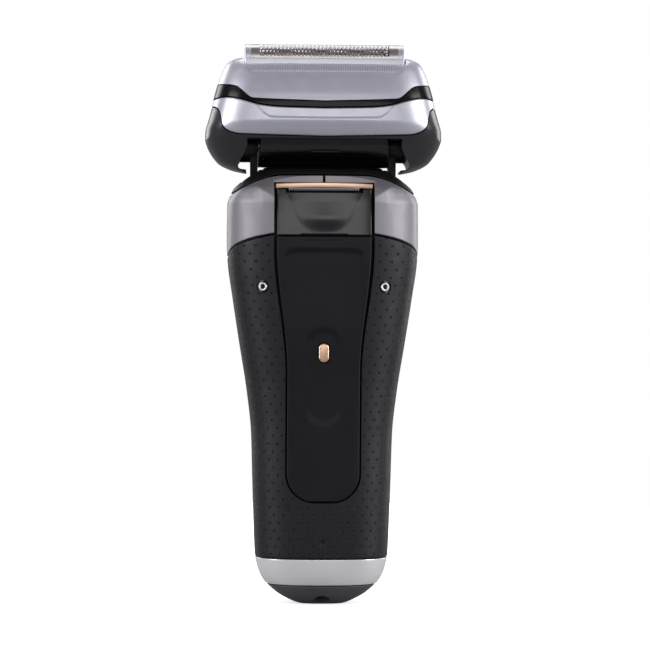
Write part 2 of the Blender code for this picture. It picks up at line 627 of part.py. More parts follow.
def make_foil(face, sign):
    """One foil with its frame and the cutter that runs under it."""
    centre = sign * FOIL_OFFSET
    frame = box(f"{face}_foil_frame", (-FOIL_FRAME_HALF, centre - FOIL_FRAME_DEPTH, 152.0),
                (FOIL_FRAME_HALF, centre + FOIL_FRAME_DEPTH, 157.6), "silver")
    for side, end in SIDES:
        near, far = sorted((end * (FOIL_HALF + 0.4), end * (FOIL_FRAME_HALF - 0.05)))
        cap = prism(f"{face}_cap_{side}", arch_outline(centre, FOIL_RADIUS - 0.1, 157.0), near, far, "X")
        boolean(frame, cap, "UNION")
    inner = (FOIL_HALF + 0.3, FOIL_FRAME_DEPTH - 0.8)
    boolean(frame, box(f"{face}_frame_hole", (-inner[0], centre - inner[1], 151),
                       (inner[0], centre + inner[1], 165)))
    outer = arch_outline(centre, FOIL_RADIUS, 157.9)
    hollow = arch_outline(centre, FOIL_RADIUS - 0.35, 157.9)
    prism(f"{face}_foil", outer + hollow[::-1], -FOIL_HALF, FOIL_HALF, "X", "steel")
    cutter = prism(f"{face}_cutter", tooth_row(17.6, 153.5, 3.5, 163.0, 10), centre - 3.4,
                   centre + 3.4, finish="steel")
    shape = prism(f"{face}_cutter_shape", arch_outline(centre, CUTTER_RADIUS, 150.0, 6), -30, 30, "X")
    boolean(cutter, shape, "INTERSECT")
    foot = box(f"{face}_cutter_foot", (-5, centre - 2.4, 150.8), (5, centre + 2.4, 153.9))
    boolean(cutter, foot, "UNION")
    boolean(cutter, rod(f"{face}_drive_pocket", 1.3, (0, centre, 149), (0, centre, 155.2),
                        segments=12))


def make_middle():
    """The lift trimmer between the foils, its blade, and the skin guard."""
    prism("lift_trimmer", tooth_row(20.0, 152.4, 7.6, 161.6, 20), -2.6, -1.2, finish="gold")
    blade = prism("lift_trimmer_blade", tooth_row(18.0, 152.4, 7.6, 161.3, 18), -0.9, 0.3, finish="steel")
    boolean(blade, box("blade_notch", (-1.0, -3, 150), (1.0, 3, 154.6)))
    guard = box("skin_guard", (-20.0, 0.8, 152.4), (20.0, 2.6, 161.8), "silver")
    bevel(guard, 0.5, 2)


def main():
    global parts, cutters
    clear_scene()
    parts = new_collection("foil_shaver")
    cutters = new_collection("foil_shaver_cutters")
    make_inside()
    make_base()
    make_socket()
    make_grip()
    make_front()
    make_collar()
    make_neck()
    make_trimmer()
    make_carrier()
    make_drive()
    make_cassette()
    for face, sign in FACES:
        make_foil(face, sign)
    make_middle()


main()
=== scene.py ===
"""Looks of the foil shaver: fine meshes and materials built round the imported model.

Lengths are in millimetres until a mesh is made, and the object's axes are the model's own:
+Z up to the foils, -Y the rear with the slide-up trimmer, +Y the front with the power button.
"""
import math

import bmesh
import bpy
import numpy as np
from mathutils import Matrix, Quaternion, Vector


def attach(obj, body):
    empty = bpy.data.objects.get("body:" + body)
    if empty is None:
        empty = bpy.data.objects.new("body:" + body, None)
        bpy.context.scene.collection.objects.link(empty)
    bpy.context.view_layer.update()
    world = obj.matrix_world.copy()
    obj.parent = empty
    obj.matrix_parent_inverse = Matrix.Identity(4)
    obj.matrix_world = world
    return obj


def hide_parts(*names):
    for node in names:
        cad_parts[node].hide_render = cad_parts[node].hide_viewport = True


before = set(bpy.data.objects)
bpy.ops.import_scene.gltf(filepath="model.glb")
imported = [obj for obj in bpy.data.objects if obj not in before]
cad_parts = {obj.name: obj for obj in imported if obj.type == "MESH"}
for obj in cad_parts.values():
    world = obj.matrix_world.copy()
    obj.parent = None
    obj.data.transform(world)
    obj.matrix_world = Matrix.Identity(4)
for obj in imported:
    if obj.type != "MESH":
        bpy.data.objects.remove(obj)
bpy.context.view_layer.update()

MM = 0.001

# ---------------------------------------------------------------- driving dimensions
# The handle's and the head's outlines: height, half width, half depth.
BODY_STATIONS = (
    (0.0, 6.8, 5.0), (0.5, 8.2, 6.1), (1.3, 10.0, 7.4), (2.9, 12.8, 9.4), (4.7, 15.0, 11.0),
    (6.5, 16.8, 12.2), (8.5, 18.0, 13.0), (11.0, 18.9, 13.6), (14.0, 19.5, 14.0),
    (22.0, 19.9, 14.1), (37.0, 20.4, 14.2), (50.0, 20.8, 14.4), (62.0, 22.1, 14.7),
    (77.0, 24.5, 15.4), (90.0, 26.5, 16.0), (100.0, 27.9, 16.4), (106.0, 28.2, 16.5),
    (117.0, 28.1, 16.4), (119.5, 27.3, 15.7), (121.5, 26.3, 14.7), (123.0, 24.8, 13.5),
    (124.5, 23.1, 12.2), (126.0, 21.0, 10.6), (127.2, 19.2, 9.0),
)
HEAD_STATIONS = (
    (126.2, 23.6, 5.5), (127.2, 27.2, 7.6), (128.9, 30.6, 9.8), (130.4, 32.0, 11.4),
    (132.0, 33.1, 13.0), (134.0, 34.1, 15.0), (136.2, 34.7, 17.0), (138.5, 34.6, 18.4),
    (141.0, 33.9, 19.2), (145.0, 32.8, 19.2), (148.0, 32.2, 18.8), (151.0, 31.4, 18.0),
    (154.0, 30.4, 17.0), (156.5, 29.4, 16.0), (158.2, 28.3, 15.0), (159.5, 26.6, 14.0),
)
BODY_ROUNDNESS, HEAD_ROUNDNESS = 2.5, 3.6
GAP = 0.3

# Edges between pieces, as (share of the half width, height).
GRIP_EDGE = ((0.0, 108.0), (0.5, 107.7), (0.64, 107.1), (0.76, 106.3), (0.9, 104.8), (0.95, 103.8),
             (0.98, 102.6), (1.0, 101.2))
RIM_EDGE = ((0.0, 125.1), (0.55, 125.1), (0.68, 124.7), (0.8, 123.6), (0.9, 121.6), (1.0, 119.6))
TRIM_LOW = ((0.0, 136.3), (0.71, 137.0), (0.79, 137.6), (0.86, 139.2), (0.9, 142.2), (0.93, 144.0),
            (1.0, 145.4))
TRIM_HIGH = ((0.0, 144.2), (0.4, 144.5), (0.57, 145.1), (0.8, 147.1), (0.88, 147.5), (1.0, 147.2))
FRAME_LOW = ((0.0, 146.4), (0.65, 147.2), (0.82, 151.0), (0.905, 151.5), (1.0, 151.8))
TRIM_SPAN, FRAME_SPAN = 32.4, 31.8  # half widths of the head where those edges run

REAR, FRONT = -1, 1
SIDES = (("left", -1), ("right", 1))
PIVOT_HEIGHT = 134.0


# ---------------------------------------------------------------- curves and forms

def batten(heights, values, wanted):
    """A smooth curve through the stations that never overshoots them."""
    slopes = np.diff(values) / np.diff(heights)
    tangents = np.empty(len(values))
    tangents[0], tangents[-1] = slopes[0], slopes[-1]
    for index in range(1, len(values) - 1):
        before, after = slopes[index - 1], slopes[index]
        tangents[index] = 2 * before * after / (before + after) if before * after > 0 else 0.0
    wanted = np.asarray(wanted, dtype=float)
    index = np.clip(np.searchsorted(heights, wanted) - 1, 0, len(values) - 2)
    span = heights[index + 1] - heights[index]
    t = np.clip((wanted - heights[index]) / span, 0.0, 1.0)
    return ((1 + 2 * t) * (1 - t) ** 2 * values[index] + t * (1 - t) ** 2 * span * tangents[index]
            + t * t * (3 - 2 * t) * values[index + 1] + t * t * (t - 1) * span * tangents[index + 1])


class Form:
    """A stack of superellipses whose half width and half depth vary with height."""

    def __init__(self, stations, roundness):
        self.heights, self.widths, self.depths = (np.array(row) for row in zip(*stations))
        self.roundness = roundness

    def sizes(self, height):
        """Half width and half depth at a height."""
        return batten(self.heights, self.widths, height), batten(self.heights, self.depths, height)

    def points(self, height, angle, inset=0.0):
        """Points on the form; height, angle and inset may be arrays of one shape."""
        width, depth = self.sizes(height)
        power = 2 / self.roundness
        across, along = np.cos(angle), np.sin(angle)
        x = (width - inset) * np.sign(across) * np.abs(across) ** power
        y = (depth - inset) * np.sign(along) * np.abs(along) ** power
        return np.stack([x, y, np.broadcast_to(height, x.shape)], axis=-1)

    def depth_at(self, x, height, inset=0.0):
        """How deep the form is at x: the size of Y on its surface."""
        width, depth = self.sizes(height)
        share = np.clip(np.abs(x) / (width - inset), 0, 1) ** self.roundness
        return (depth - inset) * (1 - share) ** (1 / self.roundness)

    def even_angles(self, height, start, end, count):
        """Angles whose points are evenly spaced along the section."""
        dense = np.linspace(start, end, 900)
        track = self.points(np.full(dense.shape, float(height)), dense)
        length = np.concatenate([[0], np.cumsum(np.linalg.norm(np.diff(track, axis=0), axis=1))])
        return np.interp(np.linspace(0, length[-1], count), length, dense)


BODY = Form(BODY_STATIONS, BODY_ROUNDNESS)
HEAD = Form(HEAD_STATIONS, HEAD_ROUNDNESS)


def smooth(low, high, value):
    """0 below low, 1 above high, and a soft step between."""
    t = np.clip((np.asarray(value, dtype=float) - low) / (high - low), 0, 1)
    return t * t * (3 - 2 * t)


def roll(distance, radius):
    """How far a rounded edge falls back at a distance from the edge."""
    d = np.clip(distance, 0, radius)
    return radius - np.sqrt(np.maximum(radius * radius - (radius - d) ** 2, 0))


def spaced(length, fine, middle):
    """Places from 0 to length, fine near both ends."""
    near = np.array([0, 0.07, 0.2, 0.42, 0.7, 1.0]) * fine
    inner = np.linspace(fine, length - fine, middle)
    return np.concatenate([near[:-1], inner, (length - near[:-1])[::-1]])


def soft_edge(points, shift=0.0):
    """A smooth edge line through its points, moved up by a shift; it takes shares of the half width."""
    shares, heights = (np.array(row) for row in zip(*points))
    return lambda share: batten(shares, heights + shift, share)


# ---------------------------------------------------------------- meshes

def quads(rows, columns, close_rows=False, close_columns=True):
    """Corner numbers of the quads of a grid of points, row by row."""
    grid = np.arange(rows * columns).reshape(rows, columns)
    if close_rows:
        grid = np.vstack([grid, grid[:1]])
    if close_columns:
        grid = np.hstack([grid, grid[:, :1]])
    corners = (grid[:-1, :-1], grid[:-1, 1:], grid[1:, 1:], grid[1:, :-1])
    return [tuple(row) for row in np.stack(corners, axis=-1).reshape(-1, 4).tolist()]


def linked(name, data):
    """A new object of the scene."""
    made = bpy.data.objects.new(name, data)
    bpy.context.scene.collection.objects.link(made)
    return made


def settled(name, mesh, merge=False):
    """An object from a mesh, its faces turned outwards and, if asked, its double points merged."""
    builder = bmesh.new()
    builder.from_mesh(mesh)
    if merge:
        bmesh.ops.remove_doubles(builder, verts=builder.verts, dist=1e-8)
    bmesh.ops.recalc_face_normals(builder, faces=builder.faces)
    builder.to_mesh(mesh)
    builder.free()
    return linked(name, mesh)


def mesh_object(name, points, faces, merge=False):
    """An object in metres from points in millimetres."""
    mesh = bpy.data.meshes.new(name)
    mesh.from_pydata((np.asarray(points).reshape(-1, 3) * MM).tolist(), [], faces)
    return settled(name, mesh, merge)


def from_builder(name, builder):
    """An object in metres from a mesh builder in millimetres."""
    bmesh.ops.scale(builder, vec=(MM, MM, MM), verts=builder.verts)
    mesh = bpy.data.meshes.new(name)
    builder.to_mesh(mesh)
    builder.free()
    return settled(name, mesh)


def applied(target):
    """Bake the modifiers of an object into its mesh."""
    graph = bpy.context.evaluated_depsgraph_get()
    mesh = bpy.data.meshes.new_from_object(target.evaluated_get(graph), depsgraph=graph)
    target.modifiers.clear()
    target.data = mesh
    return target


def carve(target, *tools, operation="DIFFERENCE"):
    """Cut tools out of a target, or join them to it, and remove the tools."""
    for tool in tools:
        step = target.modifiers.new("cut", "BOOLEAN")
        step.operation = operation
        step.solver = "MANIFOLD"
        step.object = tool
        applied(target)
        bpy.data.objects.remove(tool)
    return target


def rounded(target, width, segments=3, angle=35):
    """Round the sharp edges of a piece."""
    step = target.modifiers.new("edges", "BEVEL")
    step.width = width * MM
    step.segments = segments
    step.limit_method = "ANGLE"
    step.angle_limit = math.radians(angle)
    return applied(target)


def dress(piece, body, material, slot, *nodes, sharp=38):
    """Shade a piece, give it its finish, and let it stand for its CAD nodes on its body."""
    piece.data.shade_smooth()
    piece.data.set_sharp_from_angle(angle=math.radians(sharp))
    piece.data.materials.clear()
    piece.data.materials.append(material)
    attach(piece, body)
    if nodes:
        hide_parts(*nodes)
    return piece


def box(name, low, high):
    builder = bmesh.new()
    bmesh.ops.create_cube(builder, size=1.0)
    bmesh.ops.scale(builder, vec=Vector(high) - Vector(low), verts=builder.verts)
    bmesh.ops.translate(builder, vec=(Vector(high) + Vector(low)) / 2, verts=builder.verts)
    return from_builder(name, builder)


def prism(name, outline, near, far, along="Y"):
    """A flat outline pushed along Y (outline in X, Z) or along X (outline in Y, Z)."""
    count = len(outline)
    points = []
    for depth in (near, far):
        for a, b in outline:
            points.append((a, depth, b) if along == "Y" else (depth, a, b))
    faces = [tuple(range(count)), tuple(range(2 * count - 1, count - 1, -1))]
    for index in range(count):
        following = (index + 1) % count
        faces.append((index, following, count + following, count + index))
    return mesh_object(name, points, faces)


def turned(name, profile, base, toward, steps=64):
    """A closed profile (radius, height) spun about the axis that starts at base."""
    axis = Vector(toward).normalized()
    turn = Vector((0, 0, 1)).rotation_difference(axis)
    points = []
    for angle in np.linspace(0, 2 * math.pi, steps, endpoint=False):
        for radius, height in profile:
            spot = Vector((radius * math.cos(angle), radius * math.sin(angle), height))
            points.append(Vector(base) + turn @ spot)
    hollow = profile[0][0] > 0 and profile[-1][0] > 0
    faces = quads(steps, len(profile), close_rows=True, close_columns=hollow)
    return mesh_object(name, points, faces, merge=True)


def rod(name, radius, start, end, steps=48):
    """A round rod from one point to another."""
    run = Vector(end) - Vector(start)
    return turned(name, ((0, 0), (radius, 0), (radius, run.length), (0, run.length)), start, run, steps)


def arc(centre, radius, start, end, steps):
    """Points along an arc, from one angle to another in degrees."""
    angles = np.radians(np.linspace(start, end, steps + 1))
    return [(centre[0] + radius * math.cos(a), centre[1] + radius * math.sin(a)) for a in angles]


def mirrored(half):
    """Close an outline that was given on +X by repeating it on -X in reverse."""
    return list(half) + [(-x, z) for x, z in reversed(half) if abs(x) > 1e-6]


def span(side, near, far):
    """Two distances from the middle plane on one side, the lower number first."""
    return sorted((side * near, side * far))


def stadium(centre, half_width, half_height, steps=16):
    """An upright slot shape with half circles at both ends."""
    x, z = centre
    straight = half_height - half_width
    top = arc((x, z + straight), half_width, 0, 180, 2 * steps)
    return top + arc((x, z - straight), half_width, 180, 360, 2 * steps)


def slab(half_width, half_height, corner, centre=(0, 0), steps=8):
    """A rectangle with round corners."""
    right, top = half_width - corner, half_height - corner
    turns = ((right, top, 0), (-right, top, 90), (-right, -top, 180), (right, -top, 270))
    outline = []
    for x, z, start in turns:
        outline += arc((centre[0] + x, centre[1] + z), corner, start, start + 90, steps)
    return outline


def ring_shell(name, form, low, high, wall, columns, rows, rounding=0.35, relief=None, inset=0.0):
    """A closed shell round the form between two edges, with rounded lips and a relief."""
    middle = float(low(0.5) + high(0.5)) / 2
    angles = form.even_angles(middle, 0, 2 * math.pi, columns + 1)[:-1]
    reach = np.abs(np.cos(angles)) ** (2 / form.roundness)
    bottom, top = low(reach), high(reach)
    share = spaced(1.0, rounding / float(np.mean(top - bottom)), rows)[:, None]
    heights = bottom + (top - bottom) * share
    cut = inset + roll(heights - bottom, rounding) + roll(top - heights, rounding)
    around = np.broadcast_to(angles, heights.shape)
    outer = form.points(heights, around, cut)
    if relief is not None:
        outer = form.points(heights, around, cut + relief(*np.moveaxis(outer, -1, 0)))
    inner = form.points(heights[::-1], around, inset + wall)
    points = np.concatenate([outer, inner])
    return mesh_object(name, points, quads(len(points), columns, close_rows=True))


def loft(name, form, bottom, top, columns, rows, rounding=(0.0, 0.0), relief=None, inset=0.0):
    """A closed solid that follows the form between two heights."""
    angles = form.even_angles((bottom + top) / 2, 0, 2 * math.pi, columns + 1)[:-1]
    fine = max(max(rounding), 0.02) / (top - bottom)
    heights = bottom + (top - bottom) * spaced(1.0, fine, rows)[:, None]
    heights = np.broadcast_to(heights, (len(heights), columns))
    cut = inset + roll(heights - bottom, rounding[0]) + roll(top - heights, rounding[1])
    around = np.broadcast_to(angles, heights.shape)
    points = form.points(heights, around, cut)
    if relief is not None:
        points = form.points(heights, around, cut + relief(*np.moveaxis(points, -1, 0)))
    faces = quads(len(points), columns)
    last = (len(points) - 1) * columns
    faces += [tuple(range(columns)), tuple(range(last, last + columns))]
    return mesh_object(name, points, faces)


def level(height):
    """An edge line that stays at one height."""
    return lambda reach: np.full(np.shape(reach), float(height))


def edge_cutter(name, points, stretch, far, shift=0.0):
    """Everything beyond an edge line, up or down to the height far, across the full depth."""
    line = soft_edge(points)
    half = [(share * stretch, float(line(share)) + shift) for share in np.linspace(0, 1, 60)]
    half += [(stretch + 8, half[-1][1]), (stretch + 8, far)]
    return prism(name, [(-x, z) for x, z in reversed(half) if x > 0] + half, -40, 40)


def patch(name, outline_half, bottom, top, surface, thickness, columns, rows, rounding=0.4):
    """A curved plate on the rear or front face, bounded by a half width for each height.

    The surface gives Y for arrays of X and Z, and the sign of its Y says which way is out.
    """
    share = (1 - np.cos(np.linspace(0, math.pi, rows))) / 2
    height = (bottom + (top - bottom) * (0.7 * share + 0.3 * np.linspace(0, 1, rows)))[:, None]
    half = outline_half(height)
    across = np.sin(np.linspace(-0.5, 0.5, columns) * math.pi)[None, :]
    across = 0.6 * across + 0.4 * np.linspace(-1, 1, columns)[None, :]
    x = half * across
    z = np.broadcast_to(height, x.shape)
    y = surface(x, z)
    outward = np.sign(y)
    rim = np.minimum(half - np.abs(x), np.minimum(z - bottom, top - z))
    fall = roll(rim, rounding)
    front = np.stack([x, y - outward * fall, z], axis=-1)
    back = np.stack([x, y - outward * thickness, z], axis=-1)
    faces = quads(rows, columns, close_columns=False)
    count = rows * columns
    faces += [tuple(corner + count for corner in face) for face in faces]
    grid = np.arange(count).reshape(rows, columns)
    border = np.concatenate([grid[0, :-1], grid[:-1, -1], grid[-1, :0:-1], grid[:0:-1, 0]])
    for here, there in zip(border, np.roll(border, -1)):
        faces.append((int(here), int(there), int(there) + count, int(here) + count))
    return mesh_object(name, np.concatenate([front.reshape(-1, 3), back.reshape(-1, 3)]), faces)


# ---------------------------------------------------------------- materials

NOISE_RANGE = (0.3, 0.7)  # where nearly all noise values lie
LIGHTER_EDGE_RANGE = (0.52, 0.60)  # pointiness where the lighter edge colour starts and where it is full
BRUSHED = (1, 12, 12)  # noise drawn out along X
WOUND = (1, 1, 14)  # noise drawn out round a coil

# The staggered dimples of the grip: spacing up and round the handle, and their radius.
DOT_ROW, DOT_PITCH, DOT_RADIUS = 2.3, 2.8, 0.31
DOT_DEPTH = 0.25
# Near-black colour painted into each dimple's hollow: painted shade.
DOT_PAINTED_SHADE = (0.001, 0.001, 0.001)


class Shader:
    """A Principled material whose inputs are driven by small node chains."""

    def __init__(self, name, colour, roughness, metallic=0.0, **sockets):
        self.material = bpy.data.materials.new(name)
        self.material.use_nodes = True
        self.tree = self.material.node_tree
        self.shader = self.tree.nodes["Principled BSDF"]
        self.shader.inputs["Base Color"].default_value = (*colour, 1.0)
        self.shader.inputs["Roughness"].default_value = roughness
        self.shader.inputs["Metallic"].default_value = metallic
        for socket, value in sockets.items():
            self.shader.inputs[socket.replace("_", " ")].default_value = value
        self.colour, self.roughness = colour, roughness
        self.tint = colour
        self.place = self.add("ShaderNodeTexCoord").outputs["Object"]

    def add(self, kind, **settings):
        node = self.tree.nodes.new(kind)
        for key, value in settings.items():
            setattr(node, key, value)
        return node

    def link(self, value, socket):
        """Feed a socket from another socket or with a plain value."""
        if isinstance(value, bpy.types.NodeSocket):
            self.tree.links.new(value, socket)
        else:
            socket.default_value = value

    def math(self, operation, *values):
        node = self.add("ShaderNodeMath", operation=operation)
        for socket, value in zip(node.inputs, values):
            self.link(value, socket)
        return node.outputs[0]

    def noise(self, scale, stretch=(1, 1, 1), detail=3.0):
        """Noise from about 0.3 to 0.7, its scale in features per metre."""
        mapping = self.add("ShaderNodeMapping")
        mapping.inputs["Scale"].default_value = stretch
        self.link(self.place, mapping.inputs["Vector"])
        node = self.add("ShaderNodeTexNoise")
        self.link(mapping.outputs["Vector"], node.inputs["Vector"])
        node.inputs["Scale"].default_value = scale
        node.inputs["Detail"].default_value = detail
        return node.outputs["Fac"]

    def ranged(self, value, low, high, new_low, new_high):
        """Map a range of a value to a new range."""
        node = self.add("ShaderNodeMapRange")
        for socket, number in zip(node.inputs, (value, low, high, new_low, new_high)):
            self.link(number, socket)
        return node.outputs["Result"]

    def mix(self, factor, first, second):
        node = self.add("ShaderNodeMix", data_type="RGBA")
        self.link(factor, node.inputs["Factor"])
        for socket, value in ((node.inputs[6], first), (node.inputs[7], second)):
            self.link(value if isinstance(value, bpy.types.NodeSocket) else (*value, 1.0), socket)
        return node.outputs[2]

    def recolour(self, factor, first, second):
        """Let the colour run from the first to the second as the factor grows."""
        self.tint = self.mix(factor, first, second)
        self.link(self.tint, self.shader.inputs["Base Color"])

    def uneven(self, spread, scale, stretch=(1, 1, 1)):
        """Let the roughness wander about its own value."""
        low, high = max(self.roughness - spread, 0.02), self.roughness + spread
        value = self.ranged(self.noise(scale, stretch), *NOISE_RANGE, low, high)
        self.link(value, self.shader.inputs["Roughness"])

    def mottled(self, amount, scale, stretch=(1, 1, 1)):
        """Let the colour wander a little, lighter and darker."""
        dark = tuple(part * (1 - amount) for part in self.colour)
        light = tuple(min(part * (1 + amount), 1.0) for part in self.colour)
        self.recolour(self.ranged(self.noise(scale, stretch), *NOISE_RANGE, 0, 1), dark, light)

    def lighter_edges(self, light, amount):
        """Lighten the colour along the sharp outer edges, found by pointiness."""
        edge = self.add("ShaderNodeNewGeometry").outputs["Pointiness"]
        self.recolour(self.ranged(edge, *LIGHTER_EDGE_RANGE, 0.0, amount), self.tint, light)

    def grained(self, scale, depth, stretch=(1, 1, 1), height=None):
        """A fine bump, depth in millimetres, on top of any height given."""
        bump = self.add("ShaderNodeBump")
        bump.inputs["Distance"].default_value = depth * MM
        self.link(self.noise(scale, stretch), bump.inputs["Height"])
        if height is not None:
            self.link(height, bump.inputs["Normal"])
        self.link(bump.outputs["Normal"], self.shader.inputs["Normal"])


def grip_rubber():
    """Soft black rubber with staggered dimples, laid out by the piece's own map in millimetres; painted
    shade darkens each dimple's hollow.
    """
    made = Shader("grip_rubber", (0.0075, 0.007, 0.010), 0.48, Specular_IOR_Level=0.32)
    chart = made.add("ShaderNodeUVMap", uv_map="grip_map").outputs["UV"]
    split = made.add("ShaderNodeSeparateXYZ")
    made.link(chart, split.inputs[0])
    across, up = split.outputs[0], split.outputs[1]
    row = made.math("DIVIDE", up, DOT_ROW)
    stagger = made.math("MULTIPLY", made.math("FLOORED_MODULO", made.math("FLOOR", row), 2.0), 0.5)
    column = made.math("ADD", made.math("DIVIDE", across, DOT_PITCH), stagger)
    du = made.math("MULTIPLY", made.math("SUBTRACT", made.math("FRACT", column), 0.5), DOT_PITCH)
    dv = made.math("MULTIPLY", made.math("SUBTRACT", made.math("FRACT", row), 0.5), DOT_ROW)
    square = made.math("ADD", made.math("MULTIPLY", du, du), made.math("MULTIPLY", dv, dv))
    distance = made.math("SQRT", square)
    pit_and_painted_shade = made.ranged(distance, DOT_RADIUS * 0.55, DOT_RADIUS * 1.2, 0.0, 1.0)
    height = made.add("ShaderNodeBump")
    height.inputs["Distance"].default_value = DOT_DEPTH * MM
    made.link(pit_and_painted_shade, height.inputs["Height"])
    made.mottled(0.12, 140)
    # Painted shade: the colour goes near-black inside each dimple.
    made.recolour(pit_and_painted_shade, DOT_PAINTED_SHADE, made.tint)
    made.uneven(0.05, 300)
    made.grained(9000, 0.012, height=height.outputs["Normal"])
    return made.material


def finish(name, colour, roughness, metallic, mottle, uneven=None, grain=None, lighter_edges=None,
           stretch=(1, 1, 1), **sockets):
    """A material: mottle is (amount, scale), uneven (spread, scale), grain (scale, depth in mm)."""
    made = Shader(name, colour, roughness, metallic, **sockets)
    made.mottled(*mottle, stretch)
    if uneven:
        made.uneven(*uneven, stretch)
    if grain:
        made.grained(*grain, stretch)
    if lighter_edges:
        made.lighter_edges(*lighter_edges)
    return made.material


def make_materials():
    """Every finish of the shaver, under the name that the pieces ask for."""
    return {
        "rubber": grip_rubber(),
        "tongue": finish("soft_black_plastic", (0.0035, 0.003, 0.005), 0.44, 0.0, (0.10, 120),
                         (0.05, 260), grain=(7000, 0.010), Specular_IOR_Level=0.26),
        "matte": finish("matte_black_plastic", (0.006, 0.006, 0.007), 0.42, 0.0, (0.12, 200),
                        (0.06, 300), grain=(6000, 0.008), Specular_IOR_Level=0.35),
        "gloss": finish("gloss_black_plastic", (0.0035, 0.0035, 0.004), 0.10, 0.0, (0.15, 90),
                        (0.025, 160), Coat_Weight=0.25, Coat_Roughness=0.04, Specular_IOR_Level=0.5),
        # The trimmer blade's steel is a darker copy of brushed steel: painted shade for its place under the
        # comb.
        "blade": finish("steel_with_painted_shade", (0.30, 0.29, 0.31), 0.38, 1.0, (0.06, 2500), (0.06, 800),
                        stretch=BRUSHED),
        "rim": finish("cassette_black", (0.002, 0.002, 0.0025), 0.20, 0.0, (0.15, 90), (0.03, 160),
                      Specular_IOR_Level=0.22),
        "cover": finish("trimmer_gloss", (0.0045, 0.0045, 0.0055), 0.22, 0.0, (0.15, 90), (0.03, 160),
                        Coat_Weight=0.2, Coat_Roughness=0.12),
        "ear": finish("satin_black_plastic", (0.016, 0.015, 0.019), 0.32, 0.0, (0.15, 90), (0.03, 200),
                      grain=(5000, 0.003), Coat_Weight=0.2, Coat_Roughness=0.08, Specular_IOR_Level=0.5),
        "cap": finish("dark_grey_plastic", (0.085, 0.082, 0.092), 0.40, 0.0, (0.08, 150), (0.05, 300),
                      grain=(6500, 0.008)),
        # Graphite and silver are lighter in colour along their sharp outer edges.
        "graphite": finish("graphite_lacquer", (0.265, 0.252, 0.278), 0.52, 0.6, (0.05, 7000),
                           (0.03, 350), lighter_edges=((0.45, 0.43, 0.43), 0.35), Coat_Weight=0.15,
                           Coat_Roughness=0.2),
        "silver": finish("silver_lacquer", (0.585, 0.585, 0.665), 0.38, 0.72, (0.03, 8000), (0.03, 300),
                         grain=(12000, 0.002), lighter_edges=((0.8, 0.8, 0.82), 0.3), Coat_Weight=0.12,
                         Coat_Roughness=0.2),
        "chrome": finish("polished_chrome", (0.98, 0.98, 1.0), 0.24, 0.55, (0.03, 60), (0.03, 120)),
        "gold": finish("rose_gold", (0.82, 0.54, 0.38), 0.32, 1.0, (0.05, 3000), (0.05, 900),
                       grain=(4000, 0.002), stretch=BRUSHED),
        "steel": finish("brushed_steel", (0.55, 0.54, 0.54), 0.27, 1.0, (0.06, 2500), (0.06, 800),
                        grain=(3500, 0.002), stretch=BRUSHED),
        "foil": finish("foil_steel", (0.50, 0.46, 0.46), 0.30, 1.0, (0.05, 1500), (0.05, 700)),
        "contact": finish("nickel_plate", (0.72, 0.72, 0.74), 0.36, 0.9, (0.03, 900), (0.03, 700)),
        "copper": finish("copper_wire", (0.72, 0.33, 0.17), 0.34, 1.0, (0.15, 900), grain=(1200, 0.08),
                         stretch=WOUND),
        "board": finish("circuit_board", (0.02, 0.14, 0.06), 0.42, 0.0, (0.25, 500), (0.08, 600)),
        "cell": finish("battery_sleeve", (0.05, 0.11, 0.27), 0.33, 0.0, (0.08, 200), (0.06, 300)),
        "glass": finish("display_glass", (0.002, 0.002, 0.003), 0.06, 0.0, (0.2, 60), (0.015, 100),
                        Coat_Weight=0.5, Coat_Roughness=0.02),
    }


# ---------------------------------------------------------------- stage

# The stage is laid out in metres.
CAMERA_DISTANCE = 0.80
CAMERA_HEIGHT = 0.0817
CAMERA_YAW = math.radians(2.4)
CAMERA_ROLL = math.radians(0.25)
CAMERA_AIM_X = 0.0009
LENS, SENSOR = 150.2, 36.0
FLOOR_WHITE, FLOOR_BOUNCE = (0.92, 0.92, 0.92), (0.30, 0.30, 0.31)
FLOOR_GLOW_WITH_PAINTED_SHADE = (0.05, 0.22, 0.62, 1.0)  # two distances, and how brightly the floor glows at each; the dimmer glow near the base paints shade round it
MIDDLE = (0, 0, 0.09)
SOFT_BOXES = (
    # name, place, target, width, height, power
    ("left_box", (-0.75, -0.35, 0.30), MIDDLE, 0.35, 0.6, 3.8),
    ("right_box", (0.75, -0.30, 0.28), MIDDLE, 0.35, 0.6, 4.4),
    ("front_box", (0.0, -1.1, 0.35), (0, 0, 0.11), 1.0, 0.35, 2.0),
    ("top_box", (0.0, 0.30, 0.80), MIDDLE, 0.8, 0.5, 2.6),
    ("back_left_box", (-0.6, 0.7, 0.35), MIDDLE, 0.5, 0.6, 2.6),
    ("back_right_box", (0.7, 0.6, 0.30), MIDDLE, 0.4, 0.6, 2.4),
)


def make_camera():
    data = bpy.data.cameras.new("camera")
    data.lens, data.sensor_width = LENS, SENSOR
    data.clip_start, data.clip_end = 0.01, 20.0
    camera = linked("camera", data)
    aim = Vector((CAMERA_AIM_X, 0.0, CAMERA_HEIGHT))
    back = Vector((-math.sin(CAMERA_YAW), -math.cos(CAMERA_YAW), 0.0))
    camera.location = aim + CAMERA_DISTANCE * back
    roll_back = Quaternion((0, 0, 1), CAMERA_ROLL)
    camera.rotation_euler = ((-back).to_track_quat("-Z", "Y") @ roll_back).to_euler()
    bpy.context.scene.camera = camera


def soft_box(name, location, target, width, height, power):
    """A rectangular lamp that points at its target."""
    data = bpy.data.lights.new(name, "AREA")
    data.shape = "RECTANGLE"
    data.size, data.size_y = width, height
    data.energy = power
    lamp = linked(name, data)
    lamp.location = location
    lamp.rotation_euler = (Vector(target) - Vector(location)).to_track_quat("-Z", "Y").to_euler()


